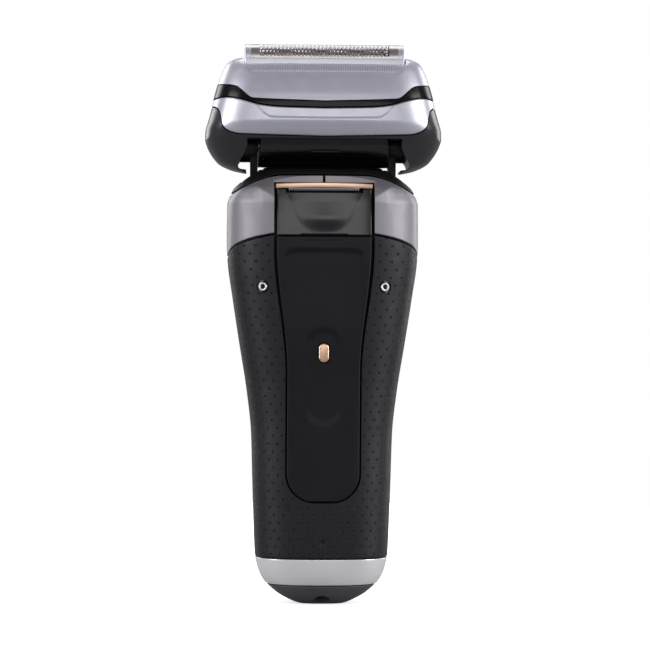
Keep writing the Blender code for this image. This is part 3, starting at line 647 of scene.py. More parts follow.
def make_lights():
    """White to the camera and a dim fill to everything else, with soft boxes all round."""
    world = bpy.data.worlds.new("studio")
    bpy.context.scene.world = world
    world.use_nodes = True
    tree = world.node_tree
    seen = tree.nodes["Background"]
    seen.inputs["Color"].default_value = (1, 1, 1, 1)
    seen.inputs["Strength"].default_value = 1.0
    fill = tree.nodes.new("ShaderNodeBackground")
    fill.inputs["Color"].default_value = (0.96, 0.93, 1.0, 1)
    fill.inputs["Strength"].default_value = 0.24
    path = tree.nodes.new("ShaderNodeLightPath")
    choose = tree.nodes.new("ShaderNodeMixShader")
    tree.links.new(path.outputs["Is Camera Ray"], choose.inputs["Fac"])
    tree.links.new(fill.outputs[0], choose.inputs[1])
    tree.links.new(seen.outputs[0], choose.inputs[2])
    tree.links.new(choose.outputs[0], tree.nodes["World Output"].inputs["Surface"])
    for settings in SOFT_BOXES:
        soft_box(*settings)


def make_floor():
    """White glowing paper under the base, with painted shade where it glows less near the base and real
    shadow showing there; it lights the object only dimly.
    """
    builder = bmesh.new()
    bmesh.ops.create_circle(builder, cap_ends=True, segments=96, radius=450)
    bmesh.ops.translate(builder, vec=(0, 0, -0.05), verts=builder.verts)
    floor = from_builder("floor", builder)
    paper = Shader("studio_paper", FLOOR_WHITE, 0.8, Emission_Color=(1, 1, 1, 1))
    away = paper.add("ShaderNodeVectorMath", operation="LENGTH")
    paper.link(paper.place, away.inputs[0])
    # Painted shade: the floor glows less near the base, so it is darker there; the real shadow shows there
    # too.
    glow_with_painted_shade = paper.ranged(away.outputs["Value"], *FLOOR_GLOW_WITH_PAINTED_SHADE)
    seen = paper.add("ShaderNodeLightPath").outputs["Is Camera Ray"]
    paper.link(paper.math("MULTIPLY", glow_with_painted_shade, seen), paper.shader.inputs["Emission Strength"])
    paper.recolour(seen, FLOOR_BOUNCE, FLOOR_WHITE)
    floor.data.materials.append(paper.material)


# ---------------------------------------------------------------- handle

BASE_SEAM, BAND_TOP = 5.8, 13.7
SEAM = 0.15
TONGUE_BOTTOM, TONGUE_CORNER = 30.4, 8.0
TONGUE_LOW_HALF, TONGUE_HIGH_HALF = 10.6, 13.7
TONGUE_NECK = (68.0, 104.0)
TONGUE_GROOVE = 0.9
COVER_SEAM, COVER_TOP, COMB_TOP = 107.5, 119.9, 122.9
BUTTON_HEIGHT = 73.6
PANEL_HALF, PANEL_BOTTOM, PANEL_TOP = 10.5, 24.0, 104.0
POWER_HEIGHT, POWER_RADIUS, BEZEL_WIDTH = 88.0, 6.6, 1.2
WINDOW_HALF, WINDOW_BOTTOM, WINDOW_TOP = 6.5, 34.0, 62.0
LOCK_HEIGHT = 115.5
CONTACT_X, CONTACT_HEIGHT, CONTACT_RADIUS = 17.8, 92.8, 1.35
CONTACT_ROOT, SEAT_RADIUS = 2.9, 1.95
NOTCH_RADIUS, NOTCH_TIP_RADIUS, NOTCH_DEPTH = 2.6, 2.2, 9
SOCKET_HOLE = (5.0, 3.4)  # half width and half depth
PORT_HEIGHT = 18.3
NECK_TOP = 127.2
CREASE_PLACES = (0.0, 13.0, 14.8, 17.5, 19.2, 20.4, 22.0, 24.0, 26.4, 28.5)
CREASE_HEIGHTS = (117.6, 118.3, 119.2, 121.1, 121.9, 121.9, 121.2, 120.0, 118.3, 116.6)
GRIP_COLUMNS = 38  # dimples round the handle
CHART_STEPS = 721


def tongue_half(height, grow=0.0):
    """Half width of the tongue at a height, with its round lower corners."""
    low, high = TONGUE_LOW_HALF + grow, TONGUE_HIGH_HALF + grow
    corner = TONGUE_CORNER + grow
    drop = np.clip(TONGUE_BOTTOM - grow + corner - height, 0, corner)
    return low + (high - low) * smooth(*TONGUE_NECK, height) - corner + np.sqrt(corner ** 2 - drop ** 2)


def tongue_outline(grow, top, flare=0.0):
    """The tongue grown by a clearance, which widens by the flare towards its top."""
    bottom = TONGUE_BOTTOM - grow
    rise = TONGUE_CORNER + grow
    lower = bottom + rise * (1 - np.cos(np.linspace(0, math.pi / 2, 24)))
    heights = np.concatenate([lower, np.linspace(lower[-1], top, 70)[1:]])
    widths = tongue_half(heights, grow) + flare * smooth(60, 104, heights)
    return mirrored([(float(x), float(z)) for x, z in zip(widths[::-1], heights[::-1])])


def grip_chart(piece):
    """Lay a map over the grip: distance round the handle and height, in millimetres."""
    mesh = piece.data
    chart = mesh.uv_layers.new(name="grip_map")
    points = np.empty(len(mesh.vertices) * 3)
    mesh.vertices.foreach_get("co", points)
    x, y, z = (points.reshape(-1, 3) / MM).T
    width, depth = BODY.sizes(z)
    half = BODY.roundness / 2
    across, along = np.sign(x) * np.abs(x / width) ** half, np.sign(y) * np.abs(y / depth) ** half
    angle = (np.arctan2(along, across) - math.pi / 2) % (2 * math.pi)
    turns = BODY.even_angles(60.0, math.pi / 2, 5 * math.pi / 2, CHART_STEPS) - math.pi / 2
    around = np.interp(angle, turns, np.linspace(0, 1, CHART_STEPS))
    corners = np.empty(len(mesh.loops), dtype=np.int32)
    mesh.loops.foreach_get("vertex_index", corners)
    values = around[corners]
    # A face that crosses the seam gets its low corners moved up by one whole turn.
    starts = np.array([face.loop_start for face in mesh.polygons])
    counts = np.array([face.loop_total for face in mesh.polygons])
    high, low = np.maximum.reduceat(values, starts), np.minimum.reduceat(values, starts)
    crossing = np.repeat(high - low > 0.5, counts)
    values = values + (crossing & (values < 0.5))
    layout = np.stack([values * GRIP_COLUMNS * DOT_PITCH, z[corners]], axis=-1)
    chart.data.foreach_set("uv", layout.ravel())


def contact_place(side):
    """Where a dock contact meets the rear surface, and the outward direction there."""
    depth = float(BODY.depth_at(CONTACT_X, CONTACT_HEIGHT))
    width, _ = BODY.sizes(CONTACT_HEIGHT)
    share = (CONTACT_X / float(width)) ** BODY_ROUNDNESS
    outward = Vector((side * share / CONTACT_X, -(1 - share) / depth, 0)).normalized()
    return Vector((side * CONTACT_X, -depth, CONTACT_HEIGHT)), outward


def panel_half(grow=0.0):
    """Half width of the front panel for each height; its ends are half circles."""
    def half(height):
        radius = PANEL_HALF + grow
        past = np.maximum(PANEL_BOTTOM - grow + radius - height, height - (PANEL_TOP + grow - radius))
        return np.sqrt(np.maximum(radius ** 2 - np.clip(past, 0, radius) ** 2, 1e-4))
    return half


def make_base(look):
    """The base cap, with its cord notch and socket hole, and the metal band above it."""
    profile = ((0, 0), (NOTCH_RADIUS, 0), (NOTCH_TIP_RADIUS, NOTCH_DEPTH), (0, NOTCH_DEPTH))
    notch = turned("notch", profile, (0, -9.2, -1.5), (0, 0.75, 1), 40)
    cap = loft("base_cap_fine", BODY, 0.0, BASE_SEAM - SEAM, 240, 40, (0.1, 0.35))
    socket = Form(((-3, *SOCKET_HOLE), (9, *SOCKET_HOLE)), 4.0)
    carve(cap, loft("socket_hole", socket, -2.5, 8.0, 64, 2), notch)
    dress(cap, "root", look["cap"], "dark_plastic", "base_cap")
    band = ring_shell("base_band_fine", BODY, level(BASE_SEAM + SEAM), level(BAND_TOP - SEAM), 1.6, 240, 44,
                      0.15)
    dress(band, "root", look["chrome"], "chrome", "base_band")


def make_contact(look, label, side):
    """A dock contact in its seat, its hole nearly filled by a black plug as painted shade."""
    place, outward = contact_place(side)
    root = place - CONTACT_ROOT * outward
    seat = turned(f"contact_seat_{label}", ((CONTACT_RADIUS + 0.05, 0), (SEAT_RADIUS, 0), (SEAT_RADIUS, 2.3),
                                            (1.85, 2.4), (CONTACT_RADIUS + 0.1, 2.1)), root, outward)
    dress(seat, "root", look["gloss"], "black_gloss")
    pin = turned(f"dock_contact_{label}_fine", ((0, 0), (1.3, 0), (1.33, 2.75), (1.2, 2.95), (1.0, 3.0),
                                                (0.8, 2.95), (0.62, 2.7), (0.6, 1.2), (0, 1.1)),
                 root, outward)
    dress(pin, "root", look["contact"], "steel", f"dock_contact_{label}", sharp=60)
    # A black plug nearly fills the pin's hole: a dark thing standing in for the shade inside it.
    hole_shade_plug = rod(f"contact_hole_shade_{label}", 0.57, place - 1.9 * outward, place - 0.35 * outward, 24)
    dress(hole_shade_plug, "root", look["gloss"], "black_gloss")


def make_grip(look):
    """The rubber shell, cut out for the tongue, the panel and the two contacts."""
    grip = ring_shell("grip_fine", BODY, level(BAND_TOP + SEAM), soft_edge(GRIP_EDGE), 3.0, 280, 130, 0.3,
                      relief=grip_relief)
    half_groove = 0.5 * TONGUE_GROOVE
    carve(grip, prism("tongue_slot", tongue_outline(half_groove, 125.0, half_groove), -30, -3))
    slot = [(float(panel_half(GAP)(z)), float(z)) for z in panel_heights(GAP)]
    carve(grip, prism("panel_slot", mirrored(slot), 3, 30))
    for label, side in SIDES:
        place, outward = contact_place(side)
        carve(grip, rod("seat_hole", SEAT_RADIUS, place - 6 * outward, place + 3 * outward))
        make_contact(look, label, side)
    grip_chart(grip)
    dress(grip, "root", look["rubber"], "grip_rubber", "grip_shell")


def panel_heights(grow):
    """Heights, from the top down, that follow the panel's two round ends."""
    bottom, top, radius = PANEL_BOTTOM - grow, PANEL_TOP + grow, PANEL_HALF + grow
    curve = radius * (1 - np.cos(np.linspace(0.05, math.pi / 2, 24)))
    return np.concatenate([bottom + curve, (top - curve)[::-1]])[::-1]


def grip_relief(x, y, z):
    """A small round port near the foot of the rear."""
    away = np.hypot(x, z - PORT_HEIGHT)
    return np.where(y < 0, 0.5 * smooth(0.75, 0.45, away), 0.0)


def crease_height(x):
    """The fold that runs over each rear shoulder."""
    return np.interp(np.abs(x), CREASE_PLACES, CREASE_HEIGHTS)


def rim_height(x):
    """The lower edge of the dark neck rim at x."""
    half_widths = [share * float(BODY.sizes(height)[0]) for share, height in RIM_EDGE]
    return np.interp(np.abs(x), half_widths, [height for _, height in RIM_EDGE])


def collar_relief(x, y, z):
    """The shoulder swells up to its fold and falls away above it."""
    past = z - crease_height(x)
    room = np.clip(rim_height(x) - crease_height(x), 0.4, 6.0)
    rise = np.clip(0.36 * room, 0.0, 1.0) * smooth(28.0, 24.0, np.abs(x))
    return -rise * np.where(past < 0, np.clip(1 + past / 9, 0, 1) ** 1.6, np.clip(1 - past / room, 0, 1))


def make_collar(look):
    """The graphite shoulder collar and the dark rim above it."""
    collar = ring_shell("collar_fine", BODY, soft_edge(GRIP_EDGE, 2 * GAP), soft_edge(RIM_EDGE), 2.4,
                        320, 90, 0.25, collar_relief)
    carve(collar, prism("collar_slot", tongue_outline(TONGUE_GROOVE, 123.15), -30, -3))
    carve(collar, box("trimmer_path", (-14.8, -30, 122.5), (14.8, -11.5, 132)))
    carve(collar, box("lock_slot", (-5.6, 10, LOCK_HEIGHT - 2.2), (5.6, 25, LOCK_HEIGHT + 2.2)))
    carve(collar, box("slit", (-0.4, -13, 122), (0.4, -9, 127)))
    dress(collar, "root", look["graphite"], "graphite", "shoulder_collar", sharp=30)
    rim = ring_shell("neck_rim_fine", BODY, soft_edge(RIM_EDGE, 2 * GAP), level(NECK_TOP), 0.9,
                     320, 40, 0.3)
    for _, side in SIDES:
        near, far = span(side, 18.9, 30)
        carve(rim, box("arm_slot", (near, -3.8, 123.4), (far, 3.8, 130)))
    dress(rim, "root", look["matte"], "black_matte", "neck_collar")


# ---------------------------------------------------------------- rear trimmer

def rounded_box_distance(x, z, half_width, low, high, corner):
    """Signed distance to a round-cornered rectangle, negative inside."""
    middle, half_height = (low + high) / 2, (high - low) / 2
    out_x = np.abs(x) - (half_width - corner)
    out_z = np.abs(z - middle) - (half_height - corner)
    outside = np.hypot(np.maximum(out_x, 0), np.maximum(out_z, 0))
    return outside + np.minimum(np.maximum(out_x, out_z), 0) - corner


def slide_surface(x, z):
    """The tongue's face, with a palm hollow, a thumb hollow and a notch below the cover."""
    palm = rounded_box_distance(x, z, 11.9, 70.0, 104.2, 3.2)
    thumb = rounded_box_distance(x, z, 5.8, 52.0, 81.3, 5.7)
    notch = rounded_box_distance(x, z, 5.9, 106.0, 112.0, 0.4)
    depth = 0.5 * smooth(0.0, -1.8, palm) * smooth(76, 99, z)
    depth = depth + 0.4 * smooth(0.0, -2.2, thumb) + 0.22 * smooth(0.2, -0.7, notch)
    return depth - BODY.depth_at(x, z)


# The scooped facet on the cover: the height of its foot and its half width there and at the top.
FACET_FOOT, FACET_LOW, FACET_HIGH = 108.4, 6.2, 10.9
COVER_END = COMB_TOP - 1.75
COMB_HALF, COMB_HEIGHT = 14.3, 122.2


def facet_half(z):
    """Half width of the scooped facet on the trimmer cover."""
    return FACET_LOW + (FACET_HIGH - FACET_LOW) * (z - FACET_FOOT) / (COVER_TOP - FACET_FOOT)


def cover_surface(x, z):
    """Side facets that lean back towards the top, and a scoop between them."""
    inside = 1 - np.clip(np.abs(x) / facet_half(z), 0, 1) ** 2
    lean = 0.06 * np.clip(z - 107.8, 0, 15)
    scoop = 1.1 * smooth(107.2, 113.5, z) - lean
    lip = rounded_box_distance(x, z, 6.8, 104.0, 108.15, 0.3)
    past = np.clip(z - 116.6, 0, 6)
    follow = z - 0.75 * past ** 2 / (past + 1.4)
    return lean + scoop * inside ** 0.9 + 0.6 * smooth(0.0, -0.25, lip) - BODY.depth_at(x, follow)


def swept_bar(name, centres, section):
    """A bar whose section (Y, Z) follows centres and shrinks at both round ends."""
    count = len(centres)
    share = np.linspace(-1, 1, count)
    size = np.sqrt(np.clip(1 - np.clip((np.abs(share) - 0.97) / 0.03, 0, 1) ** 2, 0.05, 1))
    points = [[(x, y + a * scale, z + b * scale) for a, b in section]
              for (x, y, z), scale in zip(centres, size)]
    faces = quads(count, len(section))
    last = (count - 1) * len(section)
    faces += [tuple(range(len(section))), tuple(range(last, last + len(section)))]
    return mesh_object(name, points, faces)


def tooth_row(half_width, root, tip, base, teeth, land=0.5):
    """A toothed strip from its back at base, with tapered teeth from root to tip."""
    pitch = 2 * half_width / teeth
    outline = [(half_width, base), (-half_width, base)]
    for index in range(teeth):
        left = -half_width + index * pitch
        gap = (1 - land) * pitch
        outline += [(left, root), (left + 0.3 * gap, tip), (left + pitch - 0.9 * gap, tip),
                    (left + pitch - 0.6 * gap, root)]
    return outline


def make_trimmer(look):
    """The tongue with its button, and the cover, comb and blade at its top."""
    slide = patch("trimmer_slide_fine", tongue_half, TONGUE_BOTTOM, COVER_SEAM - SEAM, slide_surface, 2.2,
                  140, 300, 0.35)
    carve(slide, prism("button_hole", stadium((0, BUTTON_HEIGHT), 1.8, 3.1), -30, -3))
    dress(slide, "trimmer", look["tongue"], "black_matte", "trimmer_slide")
    cover = patch("trimmer_cover_fine", lambda z: np.full(np.shape(z), TONGUE_HIGH_HALF), COVER_SEAM + SEAM,
                  COVER_END, cover_surface, 2.2, 220, 150, 0.3)
    notch = [(11.2, COVER_TOP), (11.5, 130), (-11.5, 130), (-11.2, COVER_TOP)]
    carve(cover, prism("blade_notch", notch, -30, -5))
    dress(cover, "trimmer", look["cover"], "black_gloss", "trimmer_cover", sharp=25)
    centres = [(COMB_HALF * share, 0.75 - float(BODY.depth_at(COMB_HALF * share, COMB_HEIGHT)),
                COMB_TOP - 0.65 - 0.3 * share * share) for share in np.linspace(-1, 1, 90)]
    comb = swept_bar("trimmer_comb_fine", centres, slab(1.15, 0.78, 0.3, steps=5))
    dress(comb, "trimmer", look["gold"], "gold", "trimmer_comb")
    teeth = tooth_row(half_width=10.35, root=121.25, tip=120.65, base=121.5, teeth=28, land=0.45)
    blade = prism("trimmer_blade_fine", teeth, -14.1, -13.1)
    dress(rounded(blade, 0.04, 1), "trimmer_blade", look["blade"], "steel", "trimmer_blade")
    button = prism("trimmer_button_fine", stadium((0, BUTTON_HEIGHT), 1.5, 2.8), -15.35, -13.2)
    dress(rounded(button, 0.45, 5), "trimmer_button", look["gold"], "gold", "trimmer_button", sharp=60)


# ---------------------------------------------------------------- front face

def front_surface(inset=0.0):
    """The handle's front face, sunk by an inset."""
    return lambda x, z: BODY.depth_at(x, z) - inset


WINDOW_CORNER = 2


def window_half(height):
    """Half width of the display window for each height, with round corners."""
    low, high = WINDOW_BOTTOM + WINDOW_CORNER, WINDOW_TOP - WINDOW_CORNER
    past = np.clip(np.maximum(low - height, height - high), 0, WINDOW_CORNER)
    return WINDOW_HALF - WINDOW_CORNER + np.sqrt(np.maximum(WINDOW_CORNER ** 2 - past ** 2, 1e-4))


def make_lock_switch(look):
    """The knurled switch that locks the head, on its flange."""
    knob = box("head_lock_fine", (-5.2, 13.0, LOCK_HEIGHT - 1.8), (1.2, 16.9, LOCK_HEIGHT + 1.8))
    for x in (-4.0, -3.0, -2.0, -1.0, 0.0):
        carve(knob, box("knurl", (x - 0.22, 16.55, LOCK_HEIGHT - 1.5), (x + 0.22, 18, LOCK_HEIGHT + 1.5)))
    rounded(knob, 0.15, 2)
    flange = box("lock_flange", (-7.4, 12.2, LOCK_HEIGHT - 2.8), (3.4, 13.3, LOCK_HEIGHT + 2.6))
    carve(knob, rounded(flange, 0.15, 2), operation="UNION")
    dress(knob, "head_lock", look["matte"], "black_matte", "head_lock_switch")


def make_front(look):
    """The front panel with its display window, and the power button in its bezel."""
    panel = patch("front_panel_fine", panel_half(), PANEL_BOTTOM, PANEL_TOP, front_surface(), 2.0, 100, 260,
                  0.35)
    window = slab(WINDOW_HALF + GAP, (WINDOW_TOP - WINDOW_BOTTOM) / 2 + GAP, 2.3,
                  (0, (WINDOW_TOP + WINDOW_BOTTOM) / 2))
    opening = POWER_RADIUS + BEZEL_WIDTH + 2 * GAP
    carve(panel, prism("window_hole", window, 3, 30),
          rod("bezel_hole", opening, (0, 3, POWER_HEIGHT), (0, 30, POWER_HEIGHT), 96))
    dress(panel, "root", look["gloss"], "black_gloss", "front_panel")

    glass = patch("display_window_fine", window_half, WINDOW_BOTTOM, WINDOW_TOP, front_surface(0.05), 1.2,
                  60, 90, 0.3)
    dress(glass, "root", look["glass"], "black_gloss", "display_window")
    inner, outer = POWER_RADIUS + GAP, POWER_RADIUS + GAP + BEZEL_WIDTH
    bezel = turned("power_bezel_fine", ((inner, 0), (outer, 0), (outer, 2.1), (outer - 0.2, 2.4),
                                        (outer - 0.5, 2.5), (inner + 0.3, 2.45), (inner, 2.1)),
                   (0, 13.4, POWER_HEIGHT), (0, 1, 0), 128)
    dress(bezel, "root", look["gold"], "gold", "power_button_bezel", sharp=60)
    face = [(0, 4.0), (1.5, 4.02), (3.0, 4.12), (4.6, 4.35), (5.6, 4.6), (6.1, 4.66), (6.4, 4.55),
            (POWER_RADIUS, 4.2), (POWER_RADIUS, 2.3), (1.5, 2.3), (1.5, 0), (0, 0)]
    button = turned("power_button_fine", face, (0, 11.2, POWER_HEIGHT), (0, 1, 0), 128)
    dress(button, "power_button", look["matte"], "black_matte", "power_button", sharp=50)
    make_lock_switch(look)


# ---------------------------------------------------------------- head

ARM_INNER, BOSS_REACH = 19.2, 24.3
HOUSING_HALF = 18.7
DECK_HEIGHT = 157.3
FOIL_OFFSET, FOIL_RADIUS, FOIL_CENTRE = 7.6, 4.0, 159.5
FOIL_SKIRT = 157.75
FOIL_HALF, FOIL_HOLES_HALF, FOIL_FRAME_HALF = 21.4, 19.1, 23.2
HOLE_PITCH, HOLE_RADIUS = 1.15, 0.46
FOIL_SHEET = 0.08
RIB_PITCH, RIB_HALF = 0.70, 22.4
RELEASE_HEIGHT, RELEASE_BOTTOM, RELEASE_TOP = 140.75, 138.9, 142.6
RELEASE_KNURL = 1.3
BELLY_RADIUS = 6.0

# The heights, for each distance from the middle, where the trim and the cassette frame step in.
TRIM_STEP = ((0, 15.2, 16.2, 18.0, 19.1, 20.5, 23.0), (141.3, 141.5, 141.7, 142.9, 144.1, 145.7, 150.0))
FRAME_STEP = ((0, 17.0, 19.5, 21.5, 23.0, 24.5), (153.3, 153.35, 153.7, 154.6, 156.0, 158.5))
# The upper wall of the motor housing's section, measured from the pivot axis.
HOUSING_WALL = ((11.5, 1.4), (11.3, -0.2), (10.6, -1.6), (9.3, -2.6), (6.9, -3.7), (4.2, -4.28))


def curve_through(points, steps):
    """A round curve through a few points, by Catmull-Rom."""
    spots = [Vector(point) for point in points]
    spots = [2 * spots[0] - spots[1], *spots, 2 * spots[-1] - spots[-2]]
    curve = []
    for a, b, c, d in zip(spots, spots[1:], spots[2:], spots[3:]):
        for t in np.linspace(0, 1, steps, endpoint=False):
            curve.append(0.5 * ((2 * b) + (c - a) * t + (2 * a - 5 * b + 4 * c - d) * t * t
                                + (3 * b - a - 3 * c + d) * t ** 3))
    return [(point.x, point.y) for point in curve + [spots[-2]]]


def ear_gap_outline():
    """The open space between the two ears, seen from the rear."""
    inner = curve_through(((22.5, 135.7), (22.5, 133.4), (23.5, 131.2), (24.7, 129.4), (25.1, 128.2)), 6)
    hook = curve_through(((25.1, 128.2), (24.5, 127.4), (22.7, 127.1)), 6)
    return mirrored([*inner, *hook[1:], (22.4, 126.0), (22.4, 120.0)])


def pivot_rod(name, radius, near, far, steps=48):
    """A rod along the pivot axis from one X to another."""
    return rod(name, radius, (near, 0, PIVOT_HEIGHT), (far, 0, PIVOT_HEIGHT), steps)


def release_relief(x, y, z):
    """The upright grooves of a release button."""
    return 0.16 * (0.5 + 0.5 * np.cos(2 * math.pi * y / RELEASE_KNURL))


def make_carrier(look):
    """The head carrier with its two ears, and a release button in each."""
    carrier = loft("head_carrier_fine", HEAD, 126.2, 148.2, 300, 100, (0.9, 0.0))
    carve(carrier, edge_cutter("carrier_top", TRIM_HIGH, TRIM_SPAN, 160, -GAP))
    carve(carrier, prism("ear_gap", ear_gap_outline(), -40, 40))
    carve(carrier, loft("carrier_hollow", HEAD, 137.4, 152.0, 120, 12, inset=2.5))
    carve(carrier, box("housing_opening", (-19.1, -11.9, 130), (19.1, 11.9, 140)))
    carve(carrier, ring_shell("trim_recess", HEAD, soft_edge(TRIM_LOW, -GAP), level(150.0), 2.1,
                              300, 20, 0.01, inset=-0.5))
    for label, side in SIDES:
        near, far = span(side, ARM_INNER - GAP, BOSS_REACH + 0.35)
        carve(carrier, pivot_rod("ear_pocket", 5.1, near, far, 72))
        near, far = span(side, 30, 38)
        carve(carrier, prism("release_window", slab(6.0, 2.15, 1.0, (0, RELEASE_HEIGHT)), near, far, "X"))
        button = ring_shell(f"release_{label}_fine", HEAD, level(RELEASE_BOTTOM), level(RELEASE_TOP), 1.5,
                            700, 26, 0.4, release_relief)
        keep = prism("release_shape", slab(5.7, 1.85, 0.8, (0, RELEASE_HEIGHT)), near, far, "X")
        carve(button, keep, operation="INTERSECT")
        dress(button, f"release_{label}", look["matte"], "black_matte", f"release_button_{label}")
    dress(carrier, "head", look["ear"], "black_gloss", "head_carrier", sharp=32)


def trim_relief(x, y, z):
    """A shallow moulded step across the upper part of the trim."""
    return 0.24 * smooth(-0.4, 0.6, z - np.interp(np.abs(x), *TRIM_STEP))


def make_trim(look):
    """The silver trim round the carrier."""
    trim = ring_shell("head_trim_fine", HEAD, soft_edge(TRIM_LOW), soft_edge(TRIM_HIGH), 1.0, 420, 90, 0.35,
                      trim_relief)
    dress(trim, "head", look["silver"], "silver", "head_trim")


def housing_outline():
    """Half section of the motor housing, measured from the pivot axis."""
    wall = curve_through(HOUSING_WALL, 5)
    belly = arc((0, 0), BELLY_RADIUS, -45.5, -90, 12)
    return [(y, z + PIVOT_HEIGHT) for y, z in mirrored([(11.5, 8.3), *wall[:-1], *belly])]


def make_housing(look):
    """The motor housing with its bay, the groove in its rear face and its two bush holes."""
    housing = prism("motor_housing_fine", housing_outline(), -HOUSING_HALF, HOUSING_HALF, "X")
    rounded(housing, 0.45, 3, 50)
    carve(housing, box("motor_bay", (-17.2, -9.6, 132.6), (17.2, 9.6, 150)))
    carve(housing, rod("sight_recess", 0.9, (-3.8, -11.1, 131.9), (4.6, -11.1, 131.9), 32))
    for _, side in SIDES:
        disc = pivot_rod("end_disc", BELLY_RADIUS, side * 18.6, side * 19.1, 96)
        carve(housing, disc, operation="UNION")
        carve(housing, pivot_rod("bush_hole", 1.5, side * 16, side * 20))
    dress(housing, "head", look["gloss"], "black_gloss", "motor_housing", sharp=30)


def frame_relief(x, y, z):
    """The cassette frame steps in above a line whose ends curl up to the shoulders."""
    return 0.20 * smooth(-0.3, 0.6, z - np.interp(np.abs(x), *FRAME_STEP))


def make_ribs(look):
    """Fine upright ribs along the upper edge of the cassette frame, front and rear."""
    points, faces = [], []
    heights = np.linspace(154.9, 157.05, 7)
    ring = quads(len(heights), 4)
    for face in (REAR, FRONT):
        for x in np.arange(-RIB_HALF, RIB_HALF + 0.01, RIB_PITCH):
            start = len(points)
            for z in heights:
                tall = min(z - heights[0], heights[-1] - z, 0.25) / 0.25
                depth = float(HEAD.depth_at(x, z)) - 0.20
                out, deep = depth + 0.13 * tall, depth - 0.35
                points += [(x - 0.2, face * deep, z), (x - 0.13, face * out, z), (x + 0.13, face * out, z),
                           (x + 0.2, face * deep, z)]
            faces += [tuple(corner + start for corner in quad) for quad in ring]
            last = start + 4 * (len(heights) - 1)
            faces += [(start, start + 1, start + 2, start + 3), (last, last + 1, last + 2, last + 3)]
    ribs = mesh_object("cassette_ribs", points, faces)
    dress(ribs, "cassette", look["silver"], "silver")


def make_cassette(look):
    """The black cassette base and the silver frame above it."""
    base = loft("cassette_base_fine", HEAD, 144.0, 152.8, 260, 44)
    carve(base, edge_cutter("base_underside", TRIM_HIGH, TRIM_SPAN, 130, 1.3 * GAP))
    seat = edge_cutter("frame_seat", FRAME_LOW, FRAME_SPAN, 165, -GAP)
    carve(seat, loft("seat_core", HEAD, 143.0, 158.0, 120, 12, inset=1.8))
    carve(base, seat, box("base_hollow", (-24.2, -12.9, 149.3), (24.2, 12.9, 156.0)),
          box("drive_opening", (-15, -11, 140), (15, 11, 152)))
    dress(base, "cassette", look["rim"], "black_gloss", "cassette_base", sharp=30)
    frame_piece = loft("cassette_frame_fine", HEAD, 145.5, 159.5, 420, 110, (0.0, 0.9), frame_relief)
    carve(frame_piece, edge_cutter("frame_underside", FRAME_LOW, FRAME_SPAN, 130))
    carve(frame_piece, loft("frame_hollow", HEAD, 140.0, 155.3, 160, 12, inset=1.5))
    carve(frame_piece, box("foil_opening", (-23.6, -12.6, 140), (23.6, 12.6, 170)))
    deck = rounded(box("deck_cut", (-23.5, -30, DECK_HEIGHT), (23.5, 30, 170)), 0.8, 4)
    carve(frame_piece, deck)
    dress(frame_piece, "cassette", look["silver"], "silver", "cassette_frame", sharp=32)
    make_ribs(look)


def arch_outline(centre, radius, bottom, steps=40):
    """A round-topped outline in Y, Z."""
    return ([(centre + radius, bottom)] + arc((centre, FOIL_CENTRE), radius, 0, 180, steps)
            + [(centre - radius, bottom)])


def on_foil(centre, across, along, radius):
    """A point of the foil: across is X, along the arc is measured from the crest."""
    turn = along / FOIL_RADIUS
    return (across, centre + radius * math.sin(turn), FOIL_CENTRE + radius * math.cos(turn))


def foil_holes(name, centre):
    """The perforated band of a foil: a hexagonal web with a round-cornered hole in each cell."""
    reach = FOIL_RADIUS * math.pi / 2 - 0.1
    rows = int(2 * reach / (HOLE_PITCH * math.sqrt(3) / 2))
    columns = int(2 * FOIL_HOLES_HALF / HOLE_PITCH)
    cell = HOLE_PITCH / math.sqrt(3)
    turns = [math.radians(30 + 60 * corner) for corner in range(6)]
    sites = {}
    points, faces = [], []

    def corner_at(x, s):
        key = (round(x, 3), round(s, 3))
        if key not in sites:
            sites[key] = len(points)
            points.append(on_foil(centre, x, s, FOIL_RADIUS - 0.02))
        return sites[key]

    for row in range(rows):
        s = (row - (rows - 1) / 2) * HOLE_PITCH * math.sqrt(3) / 2
        shift = 0.5 * (row % 2)
        for column in range(columns - row % 2):
            x = (column + shift - (columns - 1) / 2) * HOLE_PITCH
            web = [corner_at(x + cell * math.cos(t), s + cell * math.sin(t)) for t in turns]
            rim = [corner_at(x + HOLE_RADIUS * math.cos(t), s + HOLE_RADIUS * math.sin(t)) for t in turns]
            for index in range(6):
                following = (index + 1) % 6
                faces.append((web[index], web[following], rim[following], rim[index]))
    sheet = mesh_object(name, points, faces)
    step = sheet.modifiers.new("sheet", "SOLIDIFY")
    step.thickness, step.offset = FOIL_SHEET * MM, 0.0
    return applied(sheet)


def foil_margin(name, centre):
    """The plain part of a foil: its skirts and its two ends, with a window for the holes."""
    outer = arch_outline(centre, FOIL_RADIUS + 0.03, FOIL_SKIRT, 60)
    inner = arch_outline(centre, FOIL_RADIUS - 0.07, FOIL_SKIRT, 60)
    sheet = prism(name, outer + inner[::-1], -FOIL_HALF, FOIL_HALF, "X")
    edge = FOIL_HOLES_HALF - 0.25
    window = box("hole_window", (-edge, centre - 6, FOIL_CENTRE + 0.25), (edge, centre + 6, 170))
    return carve(sheet, window)


def joined(name, *objects):
    """One object from several closed ones."""
    builder = bmesh.new()
    for item in objects:
        builder.from_mesh(item.data)
        bpy.data.objects.remove(item)
    mesh = bpy.data.meshes.new(name)
    builder.to_mesh(mesh)
    builder.free()
    return linked(name, mesh)


def foil_end(name, centre, radius, end, near, edge):
    """A round-topped block at one end of a foil's frame."""
    low, high = span(end, near, FOIL_FRAME_HALF - 0.05)
    return rounded(prism(name, arch_outline(centre, radius, 156.5), low, high, "X"), edge, 2, 50)


